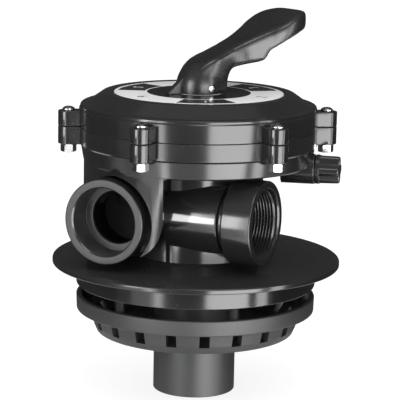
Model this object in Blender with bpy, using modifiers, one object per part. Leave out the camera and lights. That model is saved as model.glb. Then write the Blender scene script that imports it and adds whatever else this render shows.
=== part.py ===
# Six-way selector valve for the top of a sand filter, with its diffuser basket and standpipe socket.
# The valve stands on its pipe end: +Z is up, the pump port faces -Y and the return port faces +X.

from math import cos, degrees, pi, radians, sin

import bmesh
import bpy
from mathutils import Matrix, Vector

# Driving dimensions, in millimetres. Heights are measured from the bottom end of the pipe.
MM = 0.001

PIPE_RADIUS = 30.0
PIPE_BORE = 25.2
PIPE_TOP = 94.2

BASKET_FLOOR = 46.2
BASKET_BAND_RADIUS = 74.0
BASKET_RING_RADIUS = 87.5
BASKET_RING_BOTTOM = 61.4
BASKET_RING_TOP = 72.2
BASKET_SLOTS = 20
BASKET_SLOT_WIDTH = 7.4
BASKET_PILLARS = 6
BASKET_PILLAR_CIRCLE = 80.8

FLANGE_RADIUS = 105.0
FLANGE_UNDERSIDE = 95.5
FLANGE_RIM = 3.9
FLANGE_TOP = 104.0
SPIGOT_RADIUS = 87.5
SPIGOT_BOTTOM = 80.4
SPIGOT_WALL = 4.6
PLATE_UNDERSIDE = 91.5
PIPE_CUFF_BOTTOM = 79.0
NECK_RADIUS = 48.0

CHAMBER_RADIUS = 82.6
CHAMBER_BORE = 78.0
CHAMBER_BOTTOM = 170.2
SEAT_TOP = 174.0
SPLIT = 196.0
BODY_RIM_RADIUS = 86.2
BODY_RIM_BOTTOM = 183.6

PORT_HEIGHT = 136.2
PORT_OFFSET = 33.0
PORT_COLLAR_RADIUS = 30.3
PORT_COLLAR_LENGTH = 22.6
PORT_STUB_RADIUS = 20.2
PORT_STUB_LENGTH = 4.7
PORT_TUBE_RADIUS = 22.0
PORT_SOCKET_RADIUS = 24.0
PORT_SOCKET_DEPTH = 20.4
PUMP_PORT_REACH = 84.8
PUMP_WATERWAY_RADIUS = 19.0
PUMP_WATERWAY_DEPTH = 40.0
SIDE_PORT_REACH = 68.4
SIDE_WATERWAY_RADIUS = 17.5
SIDE_WATERWAY_DEPTH = 58.0
BLOCK_EDGE = 12.0
BLOCK_BOTTOM = 111.0
BLOCK_SLANT = 0.4

LUGS = 6
LUG_CIRCLE = 93.7
LUG_RADIUS = 7.6
LUG_BOTTOM = 183.0
LUG_TOP = 207.0
SCREW_RADIUS = 2.9
SCREW_HOLE_RADIUS = 3.4

LID_CREST = 220.5
LID_CREST_RADIUS = 69.0
LID_SLOPE_RADIUS = 80.6
LID_SLOPE_FOOT = 212.4
LID_SHOULDER_RADIUS = 85.4
LID_SHOULDER = 211.8
DIAL_RADIUS = 61.2
DIAL_TOP = 220.4
DIAL_FLOOR = 218.9
LID_CEILING = 214.6
STEM_BOSS_RADIUS = 13.5

STEM_RADIUS = 9.0
STEM_BORE = 9.35
SEAL_RECESS = 11.6
ROTOR_RADIUS = 56.0
ROTOR_BOTTOM = 177.6
ROTOR_TOP = 189.0
HUB_RADIUS = 23.0
HUB_TOP = 195.0
SEAT_SECTORS = 6
SPOKE_WIDTH = 6.0

SPRING_RADIUS = 17.4
SPRING_WIRE = 1.2
SPRING_TURNS = 4.5
SPRING_POINTS_PER_TURN = 10
SPRING_BOTTOM = 195.3
SPRING_TOP = 212.3

TONGUE_BOTTOM = 215.2
TONGUE_LENGTH = 6.5
TONGUE_HALF = 4.6

LEVER_AZIMUTH = 150.0
LEVER_BOTTOM = 220.75
LEVER_PIN_HEIGHT = 224.3
LEVER_HUB_RADIUS = 16.8
LEVER_CHEEK = 12.6
LEVER_PADDLE_RADIUS = 23.6
LEVER_PADDLE_CENTRE = 65.0
PIN_RADIUS = 2.8

PLUG_AZIMUTH = 104.0
PLUG_HEIGHT = 168.4
PLUG_BOSS_RADIUS = 9.4
PLUG_BOSS_FACE = 84.0
PLUG_SHANK_RADIUS = 5.0
PLUG_SHANK_END = 76.4
PLUG_TIP = 104.0

FIT_GAP = 0.35
ROUND_STEPS = 36
PORT_STEPS = 24


def clear_scene():
    for item in list(bpy.data.objects):
        bpy.data.objects.remove(item, do_unlink=True)
    for group in list(bpy.data.collections):
        bpy.data.collections.remove(group)


def new_collection(name):
    group = bpy.data.collections.new(name)
    bpy.context.scene.collection.children.link(group)
    return group


def new_material(name, colour, roughness, metallic):
    material = bpy.data.materials.new(name)
    material.use_nodes = True
    shader = material.node_tree.nodes["Principled BSDF"]
    shader.inputs["Base Color"].default_value = (*colour, 1.0)
    shader.inputs["Roughness"].default_value = roughness
    shader.inputs["Metallic"].default_value = metallic
    return material


def add_object(name, mesh, group, material=None):
    item = bpy.data.objects.new(name, mesh)
    group.objects.link(item)
    if material is not None:
        mesh.materials.append(material)
    if group.name == "cutters":
        item.display_type = "WIRE"
        item.hide_render = True
    return item


def polar(radius, azimuth, height):
    """Point at an azimuth measured from -Y towards +X, in metres."""
    angle = radians(azimuth)
    return Vector((radius * sin(angle), -radius * cos(angle), height)) * MM


def azimuth_frame(azimuth, height=0.0):
    """Matrix whose local +X points outwards at an azimuth and whose local +Z is up."""
    turn = Matrix.Rotation(radians(azimuth) - pi / 2, 4, "Z")
    return Matrix.Translation((0.0, 0.0, height * MM)) @ turn


def turned(name, profile, group, material=None, steps=ROUND_STEPS):
    """Solid of revolution about Z, from (radius, height) points that run down the outer side."""
    mesh = bpy.data.meshes.new(name)
    points = [(radius * MM, 0.0, height * MM) for radius, height in profile]
    edges = [(i, i + 1) for i in range(len(points) - 1)]
    if profile[0][0] > 0.0 or profile[-1][0] > 0.0:
        edges.append((len(points) - 1, 0))
    mesh.from_pydata(points, edges, [])
    item = add_object(name, mesh, group, material)
    screw = item.modifiers.new("turn", "SCREW")
    screw.axis = "Z"
    screw.angle = 2 * pi
    screw.steps = steps
    screw.render_steps = steps
    screw.use_merge_vertices = True
    screw.merge_threshold = 0.00001
    return item


def bar(name, radius, start, end, group, material=None, sides=24):
    """Round bar between two points given in metres."""
    along = Vector(end) - Vector(start)
    middle = (Vector(start) + Vector(end)) / 2
    place = Matrix.Translation(middle) @ along.to_track_quat("Z", "Y").to_matrix().to_4x4()
    mesh = bpy.data.meshes.new(name)
    work = bmesh.new()
    bmesh.ops.create_cone(work, cap_ends=True, segments=sides, radius1=radius * MM,
                          radius2=radius * MM, depth=along.length, matrix=place)
    work.to_mesh(mesh)
    work.free()
    return add_object(name, mesh, group, material)


def weld(mesh):
    """Close a mesh made from a curve, whose caps and sides come unjoined."""
    work = bmesh.new()
    work.from_mesh(mesh)
    bmesh.ops.remove_doubles(work, verts=work.verts, dist=0.000001)
    bmesh.ops.recalc_face_normals(work, faces=work.faces)
    work.to_mesh(mesh)
    work.free()
    mesh.materials.clear()


def slab(name, outline, low, high, group, material=None, frame=None):
    """Flat outline in millimetres, extruded from low to high along its frame's Z."""
    curve = bpy.data.curves.new(name, "CURVE")
    curve.dimensions = "2D"
    curve.fill_mode = "BOTH"
    curve.extrude = (high - low) * MM / 2
    spline = curve.splines.new("POLY")
    spline.points.add(len(outline) - 1)
    for point, (x, y) in zip(spline.points, outline):
        point.co = (x * MM, y * MM, 0.0, 1.0)
    spline.use_cyclic_u = True
    draft = bpy.data.objects.new(name + "_outline", curve)
    mesh = bpy.data.meshes.new_from_object(draft)
    bpy.data.objects.remove(draft, do_unlink=True)
    mesh.name = name
    mesh.transform((frame or Matrix()) @ Matrix.Translation((0.0, 0.0, (low + high) * MM / 2)))
    weld(mesh)
    return add_object(name, mesh, group, material)


def arc(centre, radius, first, last, count):
    """Points of a circular arc, with angles in degrees from +X."""
    angles = [radians(first + (last - first) * i / count) for i in range(count + 1)]
    return [(centre[0] + radius * cos(a), centre[1] + radius * sin(a)) for a in angles]


def pie(inner, outer, first, last, steps=5):
    """Outline of a ring sector between two azimuths."""
    far = arc((0.0, 0.0), outer, first - 90.0, last - 90.0, steps)
    near = arc((0.0, 0.0), inner, last - 90.0, first - 90.0, steps)
    return far + near


def sector(inner, outer, centre, margin, steps=5):
    """Ring sector one seat opening wide, with parallel margins beside the spokes."""
    half = 180.0 / SEAT_SECTORS
    far_half = half - degrees(margin / outer)
    near_half = half - degrees(margin / inner)
    far = arc((0.0, 0.0), outer, centre - far_half - 90.0, centre + far_half - 90.0, steps)
    near = arc((0.0, 0.0), inner, centre + near_half - 90.0, centre - near_half - 90.0, 2)
    return far + near


def combine(item, operation, others):
    """Boolean an object with a list of others, kept live as modifiers."""
    for other in others:
        step = item.modifiers.new(operation.lower() + "_" + other.name, "BOOLEAN")
        step.operation = operation
        step.solver = "EXACT"
        step.object = other


def soften(item, width, segments, angle):
    bevel = item.modifiers.new("soften", "BEVEL")
    bevel.width = width * MM
    bevel.segments = segments
    bevel.limit_method = "ANGLE"
    bevel.angle_limit = radians(angle)
    bevel.use_clamp_overlap = True


def lug_outline():
    """Post with a round outer end, joined to the wall by a straight root."""
    root = BODY_RIM_RADIUS - 2.9
    tip = arc((LUG_CIRCLE, 0.0), LUG_RADIUS, -90.0, 90.0, 6)
    return [(root, -LUG_RADIUS)] + tip + [(root, LUG_RADIUS)]


def lug_azimuths():
    return [360.0 * i / LUGS for i in range(LUGS)]


def lugs_and_holes(name, low, high, cutters):
    posts = []
    holes = []
    for i, azimuth in enumerate(lug_azimuths()):
        posts.append(slab(f"{name}_lug_{i + 1}", lug_outline(), low, high, cutters,
                          frame=azimuth_frame(azimuth)))
        holes.append(bar(f"{name}_screw_hole_{i + 1}", SCREW_HOLE_RADIUS,
                         polar(LUG_CIRCLE, azimuth, low - 3.0), polar(LUG_CIRCLE, azimuth, high + 3.0),
                         cutters, sides=10))
    return posts, holes


def port_frame(axis_point, outward, reach):
    """Frame at the middle of a port's face, with its local +Z pointing out of the port."""
    turn = outward.to_track_quat("Z", "Y").to_matrix().to_4x4()
    return Matrix.Translation((axis_point + outward * reach) * MM) @ turn


def port_frames():
    """The three ports leave the body in a pinwheel: pump to -Y, return to +X and waste to -X."""
    side = PORT_OFFSET
    high = PORT_HEIGHT
    return {
        "pump_port": port_frame(Vector((-side, 0, high)), Vector((0, -1, 0)), PUMP_PORT_REACH),
        "return_port": port_frame(Vector((0, -side, high)), Vector((1, 0, 0)), SIDE_PORT_REACH),
        "waste_port": port_frame(Vector((0, side, high)), Vector((-1, 0, 0)), SIDE_PORT_REACH),
    }


def build_port_collar(name, place, waterway, parts, material):
    """Socket ring cemented to the body."""
    collar = PORT_COLLAR_RADIUS
    socket = PORT_SOCKET_RADIUS
    back = -PORT_COLLAR_LENGTH
    profile = [
        (collar - 1.0, 0.0), (collar, -1.0), (collar, back + 1.6), (collar - 1.6, back), (waterway, back),
        (waterway, -PORT_SOCKET_DEPTH - 0.6), (socket, -PORT_SOCKET_DEPTH), (socket, -1.2), (socket + 1.2, 0.0),
    ]
    ring = turned(name, profile, parts, material, PORT_STEPS)
    ring.matrix_world = place


def port_hollow(name, place, waterway, depth, cutters):
    """Room in the body for one collar, with the fit gap all round, and the waterway behind it."""
    wide = PORT_COLLAR_RADIUS + FIT_GAP
    back = -PORT_COLLAR_LENGTH - FIT_GAP
    profile = [(0.0, 2.0), (wide, 2.0), (wide, back), (waterway, back), (waterway, -depth), (0.0, -depth)]
    hollow = turned(name, profile, cutters, steps=PORT_STEPS)
    hollow.matrix_world = place
    return hollow


def port_tube(name, place, cutters):
    """Tube of a side port, from the middle of the body to the short stub that meets its collar."""
    front = -PORT_COLLAR_LENGTH + 0.5
    step = -PORT_COLLAR_LENGTH - FIT_GAP - PORT_STUB_LENGTH
    profile = [(0.0, front), (PORT_STUB_RADIUS, front), (PORT_STUB_RADIUS, step), (PORT_TUBE_RADIUS, step),
               (PORT_TUBE_RADIUS, -SIDE_PORT_REACH), (0.0, -SIDE_PORT_REACH)]
    tube = turned(name, profile, cutters, steps=PORT_STEPS)
    tube.matrix_world = place
    return tube


def build_pump_block(cutters):
    """Moulded quarter under the chamber wall that carries the pump water up beside the seat."""
    sweep = 30.0
    fillet = 5.0
    front = CHAMBER_RADIUS + 4.0
    top = CHAMBER_BOTTOM + 0.8
    outline = [(-front, top), (-front, BLOCK_BOTTOM)]
    outline += arc((BLOCK_EDGE - sweep, BLOCK_BOTTOM + sweep), sweep, -90.0, 0.0, 6)
    outline += arc((BLOCK_EDGE + fillet, top - fillet), fillet, 180.0, 110.0, 3)
    outline += [(BLOCK_EDGE + fillet, top)]
    slant = Matrix.Identity(4)
    slant[0][2] = BLOCK_SLANT
    slant[0][3] = -BLOCK_SLANT * CHAMBER_RADIUS * MM
    upright = Matrix.Rotation(pi / 2, 4, "X")
    block = slab("pump_block", outline, 4.0, front, cutters, frame=upright @ slant)
    barrel = bar("pump_block_barrel", CHAMBER_RADIUS, (0, 0, 100 * MM), (0, 0, 190 * MM), cutters,
                 sides=ROUND_STEPS)
    combine(block, "INTERSECT", [barrel])
    return block


def build_valve_body(parts, cutters, material):
    rim = SPLIT - 0.15
    groove_in, groove_out, groove_floor = 79.9, 83.7, rim - 2.7
    neck_bottom = FLANGE_TOP + FIT_GAP
    profile = [
        (0.0, SEAT_TOP), (CHAMBER_BORE, SEAT_TOP), (CHAMBER_BORE, rim),
        (groove_in, rim), (groove_in, groove_floor), (groove_out, groove_floor), (groove_out, rim),
        (BODY_RIM_RADIUS, rim), (BODY_RIM_RADIUS, BODY_RIM_BOTTOM),
        (CHAMBER_RADIUS + 2.2, BODY_RIM_BOTTOM - 1.2), (CHAMBER_RADIUS, CHAMBER_BOTTOM + 1.2),
        (CHAMBER_RADIUS - 1.2, CHAMBER_BOTTOM), (NECK_RADIUS + 4.0, CHAMBER_BOTTOM),
        (NECK_RADIUS, CHAMBER_BOTTOM - 4.0), (NECK_RADIUS, neck_bottom), (0.0, neck_bottom),
    ]
    body = turned("valve_body", profile, parts, material)

    ports = port_frames()
    hollows = [port_hollow("pump_port_hollow", ports["pump_port"], PUMP_WATERWAY_RADIUS, PUMP_WATERWAY_DEPTH,
                           cutters)]
    tubes = []
    for name in ("return_port", "waste_port"):
        tubes.append(port_tube(name + "_tube", ports[name], cutters))
        hollows.append(port_hollow(name + "_hollow", ports[name], SIDE_WATERWAY_RADIUS, SIDE_WATERWAY_DEPTH,
                                   cutters))
    boss = bar("plug_boss", PLUG_BOSS_RADIUS, polar(62.0, PLUG_AZIMUTH, PLUG_HEIGHT),
               polar(PLUG_BOSS_FACE, PLUG_AZIMUTH, PLUG_HEIGHT), cutters, sides=18)
    posts, screw_holes = lugs_and_holes("body", LUG_BOTTOM, rim, cutters)
    combine(body, "UNION", [build_pump_block(cutters)] + tubes + [boss] + posts)

    # Seat openings, and the waterways below them.
    for i in range(SEAT_SECTORS):
        centre = 30.0 + 360.0 * i / SEAT_SECTORS
        opening = sector(12.0, 50.0, centre, SPOKE_WIDTH / 2, 3)
        hollows.append(slab(f"seat_opening_{i + 1}", opening, SEAT_TOP - 6.0, SEAT_TOP + 2.0, cutters))
    shallow = SEAT_TOP - 5.0
    hollows.append(slab("return_pocket", pie(24.0, 44.0, 6.0, 54.0, 3), 124.0, shallow, cutters))
    hollows.append(slab("waste_pocket", pie(24.0, 44.0, 186.0, 234.0, 3), 124.0, shallow, cutters))
    hollows.append(slab("tank_top_pocket", pie(28.0, 43.5, 76.0, 164.0, 4), neck_bottom - 2.0, shallow,
                        cutters))
    hollows.append(slab("tank_bottom_pocket", pie(6.0, 43.5, 252.0, 350.0, 4), 128.0, shallow, cutters))
    hollows.append(bar("tank_bottom_bore", 17.0, (0, 0, 102 * MM), (0, 0, 150 * MM), cutters, sides=20))
    hollows.append(slab("pump_riser", pie(59.0, 76.5, -46.0, -10.0, 3), 142.0, SEAT_TOP + 2.0, cutters))
    hollows.append(bar("plug_thread_hole", PLUG_SHANK_RADIUS + 0.4, polar(72.0, PLUG_AZIMUTH, PLUG_HEIGHT),
                       polar(PLUG_BOSS_FACE + 2.0, PLUG_AZIMUTH, PLUG_HEIGHT), cutters, sides=16))
    hollows.append(bar("plug_gauge_hole", 1.6, polar(74.6, PLUG_AZIMUTH, PLUG_HEIGHT),
                       polar(74.6, PLUG_AZIMUTH, SEAT_TOP + 8.0), cutters, sides=8))
    combine(body, "DIFFERENCE", hollows + screw_holes)


def build_port_collars(parts, material):
    for name, place in port_frames().items():
        waterway = PUMP_WATERWAY_RADIUS if name == "pump_port" else SIDE_WATERWAY_RADIUS
        build_port_collar(name + "_collar", place, waterway, parts, material)


def build_tank_flange(parts, cutters, material):
    """Clamp flange under the neck, with the spigot that enters the tank and the cuff of the standpipe."""
    inner = SPIGOT_RADIUS - SPIGOT_WALL
    cuff = PIPE_RADIUS + FIT_GAP
    rim_top = FLANGE_UNDERSIDE + FLANGE_RIM
    profile = [
        (NECK_RADIUS, FLANGE_TOP), (NECK_RADIUS + 3.6, 102.4), (FLANGE_RADIUS - 1.0, rim_top),
        (FLANGE_RADIUS, rim_top - 1.0), (FLANGE_RADIUS, FLANGE_UNDERSIDE),
        (SPIGOT_RADIUS, FLANGE_UNDERSIDE), (SPIGOT_RADIUS, SPIGOT_BOTTOM), (inner, SPIGOT_BOTTOM),
        (inner, PLATE_UNDERSIDE), (cuff + 4.2, PLATE_UNDERSIDE), (cuff + 4.2, PIPE_CUFF_BOTTOM),
        (cuff, PIPE_CUFF_BOTTOM), (cuff, PIPE_TOP + FIT_GAP), (PIPE_BORE, PIPE_TOP + FIT_GAP),
        (PIPE_BORE, FLANGE_TOP),
    ]
    flange = turned("tank_flange", profile, parts, material)
    window = slab("tank_top_window", pie(36.5, 43.5, 76.0, 164.0, 4), PLATE_UNDERSIDE - 2.0,
                  FLANGE_TOP + 2.0, cutters)
    combine(flange, "DIFFERENCE", [window])


def build_lid(parts, cutters, material):
    foot = SPLIT + 0.15
    pocket = DIAL_RADIUS + FIT_GAP
    boss_bottom = 206.0
    seal_floor = 207.6
    profile = [
        (SEAL_RECESS, DIAL_FLOOR), (pocket, DIAL_FLOOR), (pocket, LID_CREST - 0.6),
        (pocket + 0.85, LID_CREST), (LID_CREST_RADIUS - 1.2, LID_CREST),
        (LID_CREST_RADIUS + 0.9, LID_CREST - 0.9),
        (LID_SLOPE_RADIUS - 0.9, LID_SLOPE_FOOT + 0.6), (LID_SLOPE_RADIUS + 0.9, LID_SLOPE_FOOT - 0.2),
        (LID_SHOULDER_RADIUS - 1.2, LID_SHOULDER), (LID_SHOULDER_RADIUS, LID_SHOULDER - 1.2),
        (LID_SHOULDER_RADIUS, LID_SHOULDER - 2.1), (BODY_RIM_RADIUS, LID_SHOULDER - 2.9),
        (BODY_RIM_RADIUS, foot), (CHAMBER_BORE, foot), (CHAMBER_BORE, 206.0), (66.0, LID_CEILING),
        (STEM_BOSS_RADIUS, LID_CEILING), (STEM_BOSS_RADIUS, boss_bottom), (STEM_BORE, boss_bottom),
        (STEM_BORE, seal_floor), (SEAL_RECESS, seal_floor),
    ]
    lid = turned("lid", profile, parts, material)
    posts, holes = lugs_and_holes("lid", foot, LUG_TOP, cutters)
    combine(lid, "UNION", posts)
    combine(lid, "DIFFERENCE", holes)


def ring_seal(name, radius, wire, height, parts, material, steps=40):
    turns = [pi * i / 3 - pi / 2 for i in range(6)]
    profile = [(radius + wire * cos(turn), height - wire * sin(turn)) for turn in turns]
    return turned(name, profile, parts, material, steps)


def flat_ring(name, inner, outer, low, high, parts, material, steps=40):
    return turned(name, [(outer, high), (outer, low), (inner, low), (inner, high)], parts, material, steps)


def build_seals_and_plates(parts, cutters, rubber, print_face, nylon):
    ring_seal("lid_seal", 81.8, 1.15, SPLIT - 1.38, parts, rubber, 40)
    for i, height in enumerate((208.95, 211.4)):
        ring_seal(f"stem_seal_{i + 1}", STEM_RADIUS + 1.3, 0.95, height, parts, rubber, 24)
    plate_low = DIAL_FLOOR + FIT_GAP
    flat_ring("dial_plate", 17.8, DIAL_RADIUS, plate_low, DIAL_TOP, parts, print_face, 40)
    flat_ring("lever_washer", STEM_RADIUS + 0.6, 17.2, plate_low, LEVER_BOTTOM - FIT_GAP, parts, nylon, 24)
    flat_ring("spring_washer", STEM_BOSS_RADIUS + 0.6, 20.5, SPRING_TOP + FIT_GAP, LID_CEILING - FIT_GAP,
              parts, nylon, 24)

    low = SEAT_TOP + 0.3
    high = low + 3.0
    gasket = turned("spider_gasket", [(0.0, high), (54.0, high), (54.0, low), (0.0, low)], parts, rubber, 30)
    windows = []
    for i in range(SEAT_SECTORS):
        outline = sector(13.5, 49.0, 30.0 + 360.0 * i / SEAT_SECTORS, SPOKE_WIDTH / 2 - 0.6)
        windows.append(slab(f"gasket_window_{i + 1}", outline, low - 2.0, high + 2.0, cutters))
    combine(gasket, "DIFFERENCE", windows)


def build_rotor(parts, cutters, material, pivot):
    """Diverter with its stem: one sector is open, and a pocket underneath joins the sectors opposite."""
    tongue_top = LEVER_PIN_HEIGHT + 5.0
    hub_shoulder = HUB_TOP - 0.4
    profile = [
        (0.0, tongue_top), (STEM_RADIUS, tongue_top), (STEM_RADIUS, HUB_TOP),
        (STEM_RADIUS + 4.0, hub_shoulder), (HUB_RADIUS, hub_shoulder),
        (HUB_RADIUS + 2.0, HUB_TOP - 2.0), (ROTOR_RADIUS - 3.0, ROTOR_TOP),
        (ROTOR_RADIUS, ROTOR_TOP - 2.0), (ROTOR_RADIUS, ROTOR_BOTTOM), (0.0, ROTOR_BOTTOM),
    ]
    rotor = turned("rotor", profile, parts, material)
    wide = STEM_RADIUS + 2.0
    blank = turned("tongue_blank", [(0.0, tongue_top + 2.0), (wide, tongue_top + 2.0), (wide, TONGUE_BOTTOM),
                                    (0.0, TONGUE_BOTTOM)], cutters, steps=16)
    tongue = slab("tongue", [(-TONGUE_LENGTH, -TONGUE_HALF), (TONGUE_LENGTH, -TONGUE_HALF),
                             (TONGUE_LENGTH, TONGUE_HALF), (-TONGUE_LENGTH, TONGUE_HALF)],
                  TONGUE_BOTTOM - 2.0, tongue_top + 4.0, cutters, frame=azimuth_frame(LEVER_AZIMUTH))
    combine(blank, "DIFFERENCE", [tongue])
    under = ROTOR_BOTTOM - 3.0
    cuts = [blank]
    cuts.append(bar("stem_pin_hole", PIN_RADIUS + 0.3, pivot @ Vector((0, -0.02, 0)),
                    pivot @ Vector((0, 0.02, 0)), cutters, sides=18))
    cuts.append(slab("rotor_open_sector", sector(26.0, 51.0, -30.0, 4.0), under, HUB_TOP, cutters))
    cuts.append(slab("rotor_pocket", pie(14.0, 51.0, 94.0, 206.0), under, ROTOR_BOTTOM + 7.5, cutters))
    cuts.append(slab("rotor_pocket_idle", sector(14.0, 51.0, 30.0, 4.0), under, ROTOR_BOTTOM + 5.0, cutters))
    combine(rotor, "DIFFERENCE", cuts)


def build_spring(parts, material):
    """Open coil as one tube, with its least gap between turns measured and printed."""
    count = int(SPRING_TURNS * SPRING_POINTS_PER_TURN)
    low = SPRING_BOTTOM + SPRING_WIRE
    high = SPRING_TOP - SPRING_WIRE
    points = []
    for i in range(count + 1):
        angle = 2 * pi * i / SPRING_POINTS_PER_TURN
        height = low + (high - low) * i / count
        points.append(Vector((SPRING_RADIUS * cos(angle), SPRING_RADIUS * sin(angle), height)))
    curve = bpy.data.curves.new("rotor_spring", "CURVE")
    curve.dimensions = "3D"
    curve.bevel_depth = SPRING_WIRE * MM
    curve.bevel_resolution = 1
    curve.use_fill_caps = True
    spline = curve.splines.new("POLY")
    spline.points.add(count)
    for point, place in zip(spline.points, points):
        point.co = (*(place * MM), 1.0)
    draft = bpy.data.objects.new("rotor_spring_path", curve)
    mesh = bpy.data.meshes.new_from_object(draft)
    bpy.data.objects.remove(draft, do_unlink=True)
    weld(mesh)
    add_object("rotor_spring", mesh, parts, material)
    apart = SPRING_POINTS_PER_TURN // 2
    least = min((points[i] - points[j]).length
                for i in range(count + 1) for j in range(i + apart, count + 1))
    print(f"rotor_spring least gap to itself {least - 2 * SPRING_WIRE:.2f} mm")


def build_lever(parts, cutters, material, steel, pivot):
    """Cam lever: a side outline crossed with a plan outline, on a round hub slotted for the stem."""
    def rise(points):
        return [(u, z - LEVER_PIN_HEIGHT) for u, z in points]

    side = rise([(-27.0, LEVER_BOTTOM), (12.3, LEVER_BOTTOM), (16.4, 223.6), (16.9, 229.0), (18.2, 235.0)])
    side += rise([(22.0, 238.0), (45.0, 242.8), (47.6, 244.6), (49.4, 251.6), (62.8, 260.2), (78.0, 267.0)])
    side += arc((84.6, 48.8), 4.2, -60.0, 75.0, 4)
    side += rise([(78.0, 275.0), (70.0, 271.9), (60.7, 268.2), (52.0, 264.7), (43.2, 260.7), (34.3, 256.6),
                  (12.9, 248.5), (1.1, 243.8), (-4.5, 240.2), (-10.6, 235.4), (-28.0, 222.0)])
    half = [(-29.0, 2.6), (-15.0, 8.4), (-11.0, LEVER_CHEEK), (14.0, 13.0), (30.0, 13.8), (39.0, 15.4)]
    half += arc((LEVER_PADDLE_CENTRE, 0.0), LEVER_PADDLE_RADIUS, 126.0, 0.0, 7)
    plan = [(u, -v) for u, v in half] + [(u, v) for u, v in reversed(half[:-1])]
    upright = pivot @ Matrix.Rotation(pi / 2, 4, "X")
    lever = slab("lever_handle", side, -26.0, 26.0, parts, material, frame=upright)
    outline = slab("lever_plan", plan, -10.0, 60.0, cutters, frame=pivot)
    hub = turned("lever_hub", rise([(0.0, 239.6), (9.0, 238.6), (14.4, 235.0), (LEVER_HUB_RADIUS, 228.6),
                                    (LEVER_HUB_RADIUS - 0.4, LEVER_BOTTOM), (0.0, LEVER_BOTTOM)]),
                 cutters, steps=24)
    hub.matrix_world = pivot
    heel = slab("lever_heel_relief", rise([(12.3, LEVER_BOTTOM - 2.0), (12.3, LEVER_BOTTOM), (18.8, 224.8),
                                           (18.8, LEVER_BOTTOM - 2.0)]), -20.0, 20.0, cutters, frame=upright)
    slot = slab("lever_stem_slot", [(-8.8, -5.2), (8.8, -5.2), (8.8, 5.2), (-8.8, 5.2)], -10.0, 7.8, cutters,
                frame=pivot)
    relief = slab("lever_grip_hollow", [(24.0, -8.0), (42.0, -8.0), (42.0, 8.0), (24.0, 8.0)], 6.0, 22.0,
                  cutters, frame=pivot)
    hole = bar("lever_pin_hole", PIN_RADIUS + 0.3, pivot @ Vector((0, -0.03, 0)),
               pivot @ Vector((0, 0.03, 0)), cutters, sides=16)
    combine(lever, "INTERSECT", [outline])
    soften(lever, 1.6, 2, 50.0)
    combine(lever, "UNION", [hub])
    combine(lever, "DIFFERENCE", [heel, slot, relief, hole])
    end = LEVER_HUB_RADIUS - 0.6
    pin_profile = [(0.0, end), (PIN_RADIUS - 0.5, end), (PIN_RADIUS, end - 0.5), (PIN_RADIUS, -end + 0.5),
                   (PIN_RADIUS - 0.5, -end), (0.0, -end)]
    pin = turned("pivot_pin", pin_profile, parts, steel, 16)
    pin.matrix_world = upright


def build_fasteners(parts, steel):
    """Pan head screws and hex nuts around the lid."""
    seat = LUG_TOP + 0.3
    tail = LUG_BOTTOM - 6.6
    screw_profile = [(0.0, seat + 2.7), (2.4, seat + 2.45), (3.9, seat + 1.5), (4.5, seat + 0.5),
                     (4.5, seat), (SCREW_RADIUS, seat), (SCREW_RADIUS, tail + 0.6),
                     (SCREW_RADIUS - 0.6, tail), (0.0, tail)]
    low = LUG_BOTTOM - 5.9
    high = LUG_BOTTOM - 0.3
    corner = 5.77
    bore = (SCREW_RADIUS + 0.35) / cos(pi / 6)
    nut_profile = [(corner, high), (corner, low), (bore, low), (bore, high)]
    for i, azimuth in enumerate(lug_azimuths()):
        turn = Matrix.Rotation(radians(azimuth), 4, "Z")
        place = Matrix.Translation(polar(LUG_CIRCLE, azimuth, 0.0)) @ turn
        screw = turned(f"lid_screw_{i + 1}", screw_profile, parts, steel, 12)
        screw.matrix_world = place
        nut = turned(f"lid_nut_{i + 1}", nut_profile, parts, steel, 6)
        nut.matrix_world = place


def build_plug(parts, cutters, material, rubber):
    """Blanking plug of the gauge tapping: shank, collar and a four-lobed knob."""
    place = azimuth_frame(PLUG_AZIMUTH, PLUG_HEIGHT) @ Matrix.Rotation(pi / 2, 4, "Y")
    face = PLUG_BOSS_FACE + 2.6
    collar = 10.6
    knob = 10.2
    profile = [(0.0, PLUG_TIP), (knob - 1.4, PLUG_TIP), (knob - 0.2, PLUG_TIP - 0.9), (knob, face + 3.2),
               (collar, face + 2.8), (collar, face + 0.4), (collar - 0.5, face), (PLUG_SHANK_RADIUS, face),
               (PLUG_SHANK_RADIUS, PLUG_SHANK_END), (0.0, PLUG_SHANK_END)]
    plug = turned("gauge_plug", profile, parts, material, 24)
    plug.matrix_world = place
    flutes = []
    for i in range(4):
        turn = Matrix.Rotation(pi / 4 + i * pi / 2, 4, "Z")
        root = place @ turn @ (Vector((12.4, 0.0, face + 3.6)) * MM)
        end = place @ turn @ (Vector((12.4, 0.0, PLUG_TIP + 3.0)) * MM)
        flutes.append(bar(f"plug_flute_{i + 1}", 5.0, root, end, cutters, sides=12))
    combine(plug, "DIFFERENCE", flutes)
    seal = ring_seal("plug_seal", 7.0, 0.95, PLUG_BOSS_FACE + 1.3, parts, rubber, 20)
    seal.matrix_world = place


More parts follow.
